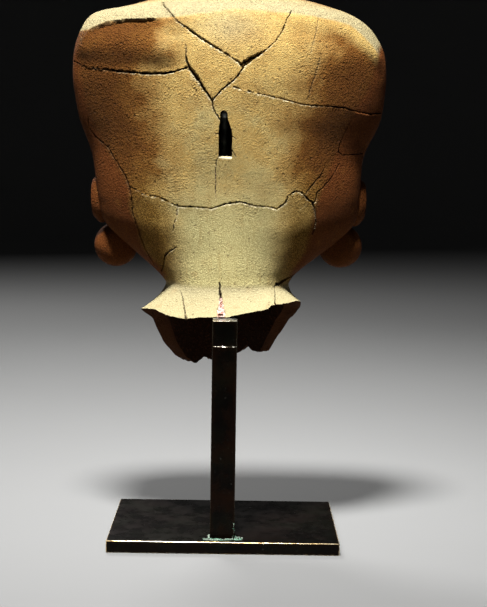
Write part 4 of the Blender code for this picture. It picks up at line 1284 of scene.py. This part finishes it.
def crackCarving():
    # carves each crack along its line, marks its inside and its lower lip, whose pale paint is a painted
    # highlight where it faces up to the light, and waves the whole skin
    inputs = (("Geometry", geometrySocket, None), ("Crack lines", "NodeSocketObject", None),
              ("Wave height", floatSocket, 0.0003), ("Lip width", floatSocket, 0.00055),
              ("Outside clay", materialSocket, None))
    tree, given, made = startTree("crackCarving", "GeometryNodeTree", inputs, (("Geometry", geometrySocket),))
    lines = addNode(tree, "GeometryNodeObjectInfo", {"Object": given["Crack lines"]}).outputs["Geometry"]
    lines = storeNode(tree, lines, "halfWidth", addNode(tree, "GeometryNodeInputRadius").outputs[0])
    lines = storeNode(tree, lines, "depth", addNode(tree, "GeometryNodeInputCurveTilt").outputs[0])
    edges = addNode(tree, "GeometryNodeCurveToMesh", {"Curve": lines}).outputs[0]
    nearest = addNode(tree, "GeometryNodeProximity", {"Geometry": edges}, target_element="EDGES").outputs
    position = addNode(tree, "GeometryNodeInputPosition").outputs[0]
    normal = addNode(tree, "GeometryNodeInputNormal").outputs[0]
    index = addNode(tree, "GeometryNodeSampleNearest", {"Geometry": edges}, domain="POINT").outputs[0]

    def sampled(name):
        value = addNode(tree, "GeometryNodeInputNamedAttribute", {"Name": name}, data_type="FLOAT").outputs[0]
        values = {"Geometry": edges, "Value": value, "Index": index}
        return addNode(tree, "GeometryNodeSampleIndex", values, data_type="FLOAT", domain="POINT").outputs[0]

    halfWidth = sampled("halfWidth")
    ratio = math2(tree, "DIVIDE", nearest["Distance"], halfWidth)
    groove = ramp(tree, ratio, 0.35, 1.15, 1.0, 0.0)
    below = splitVector(tree, vector2(tree, "SUBTRACT", position, nearest["Position"]))[2]
    chips = noiseFactor(tree, position, 700.0, 2.0)
    # painted highlight: the lower lip only, where it faces up to the light
    lipReach = math2(tree, "DIVIDE", minus(tree, nearest["Distance"], halfWidth), given["Lip width"])
    lip = times(tree, ramp(tree, lipReach, 0.2, 1.0, 1.0, 0.0), ramp(tree, below, -0.0003, 0.0001, 1.0, 0.0))
    lip = times(tree, lip, ramp(tree, chips, 0.36, 0.56))
    lip = times(tree, lip, ramp(tree, halfWidth, 0.00022, 0.0005, 0.3, 1.0))
    wave = minus(tree, noiseFactor(tree, position, 55.0, 3.0), 0.5)
    wave = times(tree, wave, given["Wave height"])
    push = minus(tree, wave, times(tree, groove, sampled("depth")))
    body = storeNode(tree, given["Geometry"], "crack", groove)
    body = storeNode(tree, body, "lip", lip)
    values = {"Geometry": body, "Offset": scaled(tree, normal, push)}
    body = addNode(tree, "GeometryNodeSetPosition", values).outputs[0]
    body = addNode(tree, "GeometryNodeRealizeInstances", {"Geometry": body}).outputs[0]
    slot = addNode(tree, "GeometryNodeInputMaterialIndex").outputs[0]
    isOutside = addNode(tree, "FunctionNodeCompare", {2: slot, 3: 0}, data_type="INT", operation="EQUAL")
    values = {"Geometry": body, "Selection": isOutside.outputs[0], "Material": given["Outside clay"]}
    connect(tree, made["Geometry"], addNode(tree, "GeometryNodeSetMaterial", values).outputs[0])
    return tree


def dressHead():
    head = joinHeadParts()
    print("head joined:", len(head.data.polygons), "faces")
    lines, laid, fillQuads = layCracks(head)
    refineNear(head.data, laid)
    print("refined beside the cracks:", len(head.data.polygons), "faces")
    liftSherds(head.data)
    paintHead(head.data)
    addTreeModifier(head, crackCarving(), {
        "Crack lines": lines, "Wave height": crackForm["waveHeight"], "Lip width": crackForm["lipHighlightWidth"],
        "Outside clay": outsideClay})
    bakeModifiers(head)
    bpy.data.objects.remove(lines, do_unlink=True)
    shadeSmooth(head.data, 48.0)
    dressAs(head, "head")
    return head, laid, fillQuads


# stand

stand = {"plateEdge": 0.0006, "barEdge": 0.00038, "cell": 0.004, "wobble": 0.00005, "rodSides": 28,
         "rodBend": 0.008, "rodDome": 0.0011, "rodProud": 0.0016, "socketClearance": 0.0003}


def makeWornBar(name, low, high, edge, material):
    builder = bmesh.new()
    bmesh.ops.create_cube(builder, size=1.0)
    size = high - low
    bmesh.ops.scale(builder, vec=size, verts=builder.verts)
    bmesh.ops.translate(builder, vec=(low + high) / 2.0, verts=builder.verts)
    bmesh.ops.bevel(builder, geom=list(builder.edges), offset=edge, segments=3, profile=0.6, affect="EDGES")
    for axis in range(3):
        normal = Vector([float(axis == other) for other in range(3)])
        inner = size[axis] - 2.0 * edge
        steps = max(1, round(inner / stand["cell"]))
        for index in range(1, steps):
            cut = normal * (low[axis] + edge + inner * index / steps)
            geometry = list(builder.verts) + list(builder.edges) + list(builder.faces)
            bmesh.ops.bisect_plane(builder, geom=geometry, plane_co=cut, plane_no=normal)
    for vertex in builder.verts:
        push = noise.noise_vector(vertex.co * 240.0) * stand["wobble"]
        push += noise.noise_vector(vertex.co * 900.0) * stand["wobble"] * 0.5
        if vertex.co.z < 0.0005:
            push.z = 0.0
        vertex.co += push
    bmesh.ops.triangulate(builder, faces=[face for face in builder.faces if len(face.verts) > 4])
    mesh = bpy.data.meshes.new(name)
    builder.to_mesh(mesh)
    builder.free()
    mesh.materials.append(material)
    return linkObject(name, mesh)


def sweepTube(name, path, radii, sides, material):
    # a closed tube along a path in one upright plane
    points = []
    for index, (place, radius) in enumerate(zip(path, radii)):
        before = path[max(0, index - 1)]
        after = path[min(len(path) - 1, index + 1)]
        direction = (after - before).normalized()
        across = Vector((1.0, 0.0, 0.0))
        up = direction.cross(across)
        for step in range(sides):
            angle = 2.0 * math.pi * step / sides
            points.append(place + (across * math.cos(angle) + up * math.sin(angle)) * radius)
    faces = gridFaces(len(path) - 1, sides, turned=True)
    faces += [tuple(range(sides))[::-1], tuple(range((len(path) - 1) * sides, len(path) * sides))]
    mesh = meshFrom(name, points, faces, None, (material,))
    turnOutward(mesh)
    shadeSmooth(mesh, 40.0)
    return linkObject(name, mesh)


def makeRod():
    low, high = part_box("hanging_rod")
    radius = (high.x - low.x) / 2.0
    x = (low.x + high.x) / 2.0
    uprightY, level = low.y + radius, high.z - radius
    turn = stand["rodBend"]
    path = [Vector((x, uprightY, low.z + (level - turn - low.z) * index / 24.0)) for index in range(24)]
    for index in range(15):
        angle = math.pi / 2.0 * index / 14.0
        y = uprightY + turn * (1.0 - math.cos(angle))
        path.append(Vector((x, y, level - turn * (1.0 - math.sin(angle)))))
    dome = stand["rodDome"]
    tipY = high.y + stand["rodProud"]
    path.append(Vector((x, tipY - dome - 0.0008, level)))
    radii = [radius] * len(path)
    for index in range(7):
        angle = math.pi / 2.0 * index / 6.0
        path.append(Vector((x, tipY - dome * (1.0 - math.sin(angle)), level)))
        radii.append(radius * (0.42 + 0.58 * math.cos(angle)))
    rod = sweepTube("rodFinish", path, radii, stand["rodSides"], rodPatina(tipY - 0.008))
    dressAs(rod, "hanging_rod")
    return x, uprightY, radius


def drillSocket(arm, x, y, radius):
    low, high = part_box("support_arm")
    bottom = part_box("hanging_rod")[0].z - stand["socketClearance"]
    mesh = bpy.data.meshes.new("socket")
    builder = bmesh.new()
    depth = high.z + 0.004 - bottom
    bmesh.ops.create_cone(builder, cap_ends=True, segments=40, radius1=radius, radius2=radius, depth=depth)
    bmesh.ops.translate(builder, vec=(x, y, bottom + depth / 2.0), verts=builder.verts)
    builder.to_mesh(mesh)
    builder.free()
    drill = linkObject("socket", mesh)
    cutWith(arm, "rod socket", drill)
    bakeModifiers(arm)
    bpy.data.objects.remove(drill, do_unlink=True)


def crumbTree():
    # small uneven lumps scattered over the faces of a patch
    inputs = (("Geometry", geometrySocket, None), ("Density", floatSocket, 1000000.0),
              ("Smallest", floatSocket, 0.0002), ("Largest", floatSocket, 0.0006),
              ("Seed", "NodeSocketInt", 1), ("Crumb material", materialSocket, None))
    tree, given, made = startTree("crumbs", "GeometryNodeTree", inputs, (("Geometry", geometrySocket),))
    values = {"Mesh": given["Geometry"], "Density": given["Density"], "Seed": given["Seed"]}
    scattered = addNode(tree, "GeometryNodeDistributePointsOnFaces", values).outputs["Points"]
    lump = addNode(tree, "GeometryNodeMeshIcoSphere", {"Radius": 1.0, "Subdivisions": 1}).outputs["Mesh"]

    def drawn(low, high, kind, firstInput, output):
        values = {firstInput: low, firstInput + 1: high, "Seed": given["Seed"]}
        return addNode(tree, "FunctionNodeRandomValue", values, data_type=kind).outputs[output]

    size = drawn(given["Smallest"], given["Largest"], "FLOAT", 2, 1)
    turn = drawn((0.0, 0.0, 0.0), (6.28, 6.28, 6.28), "FLOAT_VECTOR", 0, 0)
    stretch = drawn((0.6, 0.7, 0.5), (1.2, 1.3, 1.0), "FLOAT_VECTOR", 0, 0)
    values = {"Points": scattered, "Instance": lump, "Rotation": turn, "Scale": scaled(tree, stretch, size)}
    placed = addNode(tree, "GeometryNodeInstanceOnPoints", values).outputs[0]
    body = addNode(tree, "GeometryNodeRealizeInstances", {"Geometry": placed}).outputs[0]
    values = {"Vector": addNode(tree, "GeometryNodeInputPosition").outputs[0], "Scale": 2600.0, "Detail": 1.0}
    dents = addNode(tree, "ShaderNodeTexNoise", values).outputs["Color"]
    dents = vector2(tree, "SUBTRACT", dents, (0.5, 0.5, 0.5))
    dents = scaled(tree, dents, times(tree, given["Largest"], 0.9))
    body = addNode(tree, "GeometryNodeSetPosition", {"Geometry": body, "Offset": dents}).outputs[0]
    values = {"Geometry": body, "Material": given["Crumb material"]}
    connect(tree, made["Geometry"], addNode(tree, "GeometryNodeSetMaterial", values).outputs[0])
    return tree


def scatterCrumbs(name, tree, quads, density, smallest, largest, seed, material):
    points = [corner for quad in quads for corner in quad]
    faces = [tuple(range(index * 4, index * 4 + 4)) for index in range(len(quads))]
    item = linkObject(name, meshFrom(name, points, faces, None, (material,)))
    addTreeModifier(item, tree, {"Density": density, "Smallest": smallest, "Largest": largest, "Seed": seed,
                                 "Crumb material": material})
    bakeModifiers(item)
    item.data.shade_smooth()
    dressAs(item)
    print(name, len(item.data.polygons), "faces")


def flatQuad(xLow, xHigh, yLow, yHigh, z):
    return ((xLow, yLow, z), (xHigh, yLow, z), (xHigh, yHigh, z), (xLow, yHigh, z))


def dressStand():
    plateLow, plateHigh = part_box("base_plate")
    postLow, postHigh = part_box("post")
    armLow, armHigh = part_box("support_arm")
    postLow.z, postHigh.z = plateHigh.z, postHigh.z + 0.0001
    armLow.z = postHigh.z + 0.00005
    foot = ((postLow.x + postHigh.x) / 2.0, postHigh.y, plateHigh.z)
    plateBrass = patinatedBrass("platePatina", plateLow, plateHigh, 0.3, 0.9, 0.008, crustAt=foot)
    postBrass = patinatedBrass("postPatina", postLow, postHigh, 0.9, 0.03, 0.02, seamAt=postHigh.z)
    # the arm's full amount paints its top faces pale: a painted sheen where they face the light
    armBrass = patinatedBrass("armPatina", armLow, armHigh, 0.2, 0.05, 1.0, seamAt=armLow.z)
    plate = makeWornBar("plateFinish", plateLow, plateHigh, stand["plateEdge"], plateBrass)
    post = makeWornBar("postFinish", postLow, postHigh, stand["barEdge"], postBrass)
    arm = makeWornBar("armFinish", armLow, armHigh, stand["barEdge"], armBrass)
    x, y, radius = makeRod()
    drillSocket(arm, x, y, radius + stand["socketClearance"])
    for item, node in ((plate, "base_plate"), (post, "post"), (arm, "support_arm")):
        shadeSmooth(item.data, 38.0)
        dressAs(item, node)
    crumbs = crumbTree()
    top = plateHigh.z + 0.00005
    back = postHigh.y
    crust = [flatQuad(postLow.x - 0.001, postHigh.x - 0.004, back, back + 0.0016, top),
             flatQuad(postHigh.x - 0.006, postHigh.x + 0.0035, back - 0.0005, back + 0.0032, top),
             flatQuad(postLow.x - 0.0042, postLow.x, back - 0.004, back + 0.0024, top),
             flatQuad(postHigh.x, postHigh.x + 0.0010, postLow.y + 0.004, back, top),
             flatQuad(postLow.x - 0.0010, postLow.x, postLow.y + 0.005, back, top)]
    side = postLow.x
    crust.append(((side - 0.0001, back - 0.0012, top), (side + 0.0010, back + 0.0001, top),
                  (side + 0.0004, back + 0.0001, top + 0.009), (side - 0.0001, back - 0.001, top + 0.008)))
    scatterCrumbs("footCrust", crumbs, crust, 3.4e6, 0.00010, 0.00036, 3, verdigris)
    print("stand dressed")
    return crumbs


def layFill(tree):
    # the surface of the wedge-shaped gap of the rim, before it is carved
    eye = seenFrom()
    wedge = cracks["fill"]
    line = np.array(wedge[4])
    quads, rows = [], []
    for index in range(15):
        share = 0.46 + 0.54 * index / 14.0
        centre = [np.interp(share, np.linspace(0.0, 1.0, len(line)), line[:, axis]) for axis in (0, 1)]
        half = np.interp(share, (0.0, 0.5, 1.0), wedge[:3]) * 0.92
        row = []
        for across in (-1.0, -0.5, 0.0, 0.5, 1.0):
            target = Vector(((centre[0] + across * half) * 0.001, crackForm["planeY"], centre[1] * 0.001))
            hit, normal = tree.ray_cast(eye, target - eye)[:2]
            if hit:
                row.append(hit - normal * (0.0001 + 0.0004 * abs(across)))
        if len(row) == 5:
            rows.append(row)
    for low, high in zip(rows, rows[1:]):
        quads += [(low[i], low[i + 1], high[i + 1], high[i]) for i in range(4)]
    return quads


def crumbsInCracks(laid, crumbs):
    # clay crumbs left in the joints
    quads = []
    for name, first, last in (("lowerLeft", 0.0, 0.8), ("dottedSeam", 0.1, 1.0), ("dotted", 0.1, 0.9),
                              ("rimLeft", 0.3, 1.0), ("branch", 0.2, 0.9)):
        line = laid[name]
        part = line[int(first * len(line)):int(last * len(line)) or 1]
        for low, high in zip(part, part[3:]):
            wide = Vector((0.00022, 0.0, 0.0))
            quads.append((low - wide, low + wide, high + wide, high - wide))
    scatterCrumbs("jointCrumbs", crumbs, quads, 1.4e6, 0.00010, 0.00026, 5, clayCrumb)


# floor, light and camera

studio = {
    "floorRadius": 3.2, "wallHeight": 2.6, "floorTone": (0.135, 0.135, 0.132),
    "worldTone": (0.88, 0.89, 0.90), "worldStrength": 0.042,
    "keyPower": 6.9, "keySize": 0.32, "keyAt": (0.13, 0.49, 1.59),
    "fillPower": 24.0, "fillSize": 0.4, "fillAt": (0.40, -0.98, 1.16),
}
cameraView = {"location": (-0.0072, 0.752, 0.2021), "pitch": 5.86, "roll": 0.86, "yaw": -0.13, "lens": 83.69}


def addFloor():
    # a floor that curves up into a round wall far away
    far = studio["floorRadius"]
    profile = [(0.5 * far, 0.0), (0.8 * far, 0.0)]
    bend = 0.2 * far
    for index in range(1, 9):
        angle = math.pi / 2.0 * index / 8.0
        profile.append((0.8 * far + bend * math.sin(angle), bend * (1.0 - math.cos(angle))))
    profile.append((far, studio["wallHeight"]))
    count = 96
    turns = [2.0 * math.pi * index / count for index in range(count)]
    points = [(0.0, 0.0, 0.0)]
    for radius, height in profile:
        points += [(radius * math.cos(turn), radius * math.sin(turn), height) for turn in turns]
    faces = [(0, 1 + index, 1 + (index + 1) % count) for index in range(count)]
    faces += gridFaces(len(profile) - 1, count, 1)
    material, tree, shader, vector = startMaterial("paleFloor", 0.85)
    soft = clouds(tree, vector, 0.5, 0.3, 0.7, 1.0)
    tone = studio["floorTone"]
    darker = tuple(0.96 * part for part in tone)
    tree.links.new(mixColor(tree, soft, tone, darker), shader.inputs["Base Color"])
    floor = linkObject("floor", meshFrom("floor", points, faces, None, (material,)))
    floor.data.shade_smooth()


def addLight(name, power, size, at, target, spread=180.0):
    data = bpy.data.lights.new(name, "AREA")
    data.energy = power
    data.shape = "DISK"
    data.size = size
    data.spread = math.radians(spread)
    lamp = linkObject(name, data)
    lamp.location = at
    lamp.rotation_euler = (Vector(target) - Vector(at)).to_track_quat("-Z", "Y").to_euler()


def addStudio():
    addFloor()
    world = bpy.data.worlds.new("studio")
    world.use_nodes = True
    background = world.node_tree.nodes["Background"]
    background.inputs["Color"].default_value = (*studio["worldTone"], 1.0)
    background.inputs["Strength"].default_value = studio["worldStrength"]
    bpy.context.scene.world = world
    bpy.context.scene.view_settings.view_transform = "Standard"
    addLight("key", studio["keyPower"], studio["keySize"], studio["keyAt"], (0.0, 0.0, 0.21), 46.0)
    addLight("fill", studio["fillPower"], studio["fillSize"], studio["fillAt"], (0.0, 0.0, 0.15))


def addCamera():
    pitch, roll, yaw = (math.radians(cameraView[name]) for name in ("pitch", "roll", "yaw"))
    forward = Vector((math.sin(yaw) * math.cos(pitch), -math.cos(yaw) * math.cos(pitch), -math.sin(pitch)))
    right = Vector((-math.cos(yaw), -math.sin(yaw), 0.0))
    up = right.cross(forward)
    turn = Matrix((right * math.cos(roll) + up * math.sin(roll), up * math.cos(roll) - right * math.sin(roll),
                   -forward)).transposed()
    data = bpy.data.cameras.new("camera")
    data.lens = cameraView["lens"]
    data.sensor_width = 36.0
    camera = linkObject("camera", data)
    camera.matrix_world = Matrix.Translation(cameraView["location"]) @ turn.to_4x4()
    bpy.context.scene.camera = camera


addCamera()
addStudio()
crumbs = dressStand()
head, laid, fillQuads = dressHead()
scatterCrumbs("rimPlaster", crumbs, fillQuads, 6.0e6, 0.00022, 0.00058, 8, plaster)
crumbsInCracks(laid, crumbs)
print("head dressed:", len(head.data.polygons), "faces")
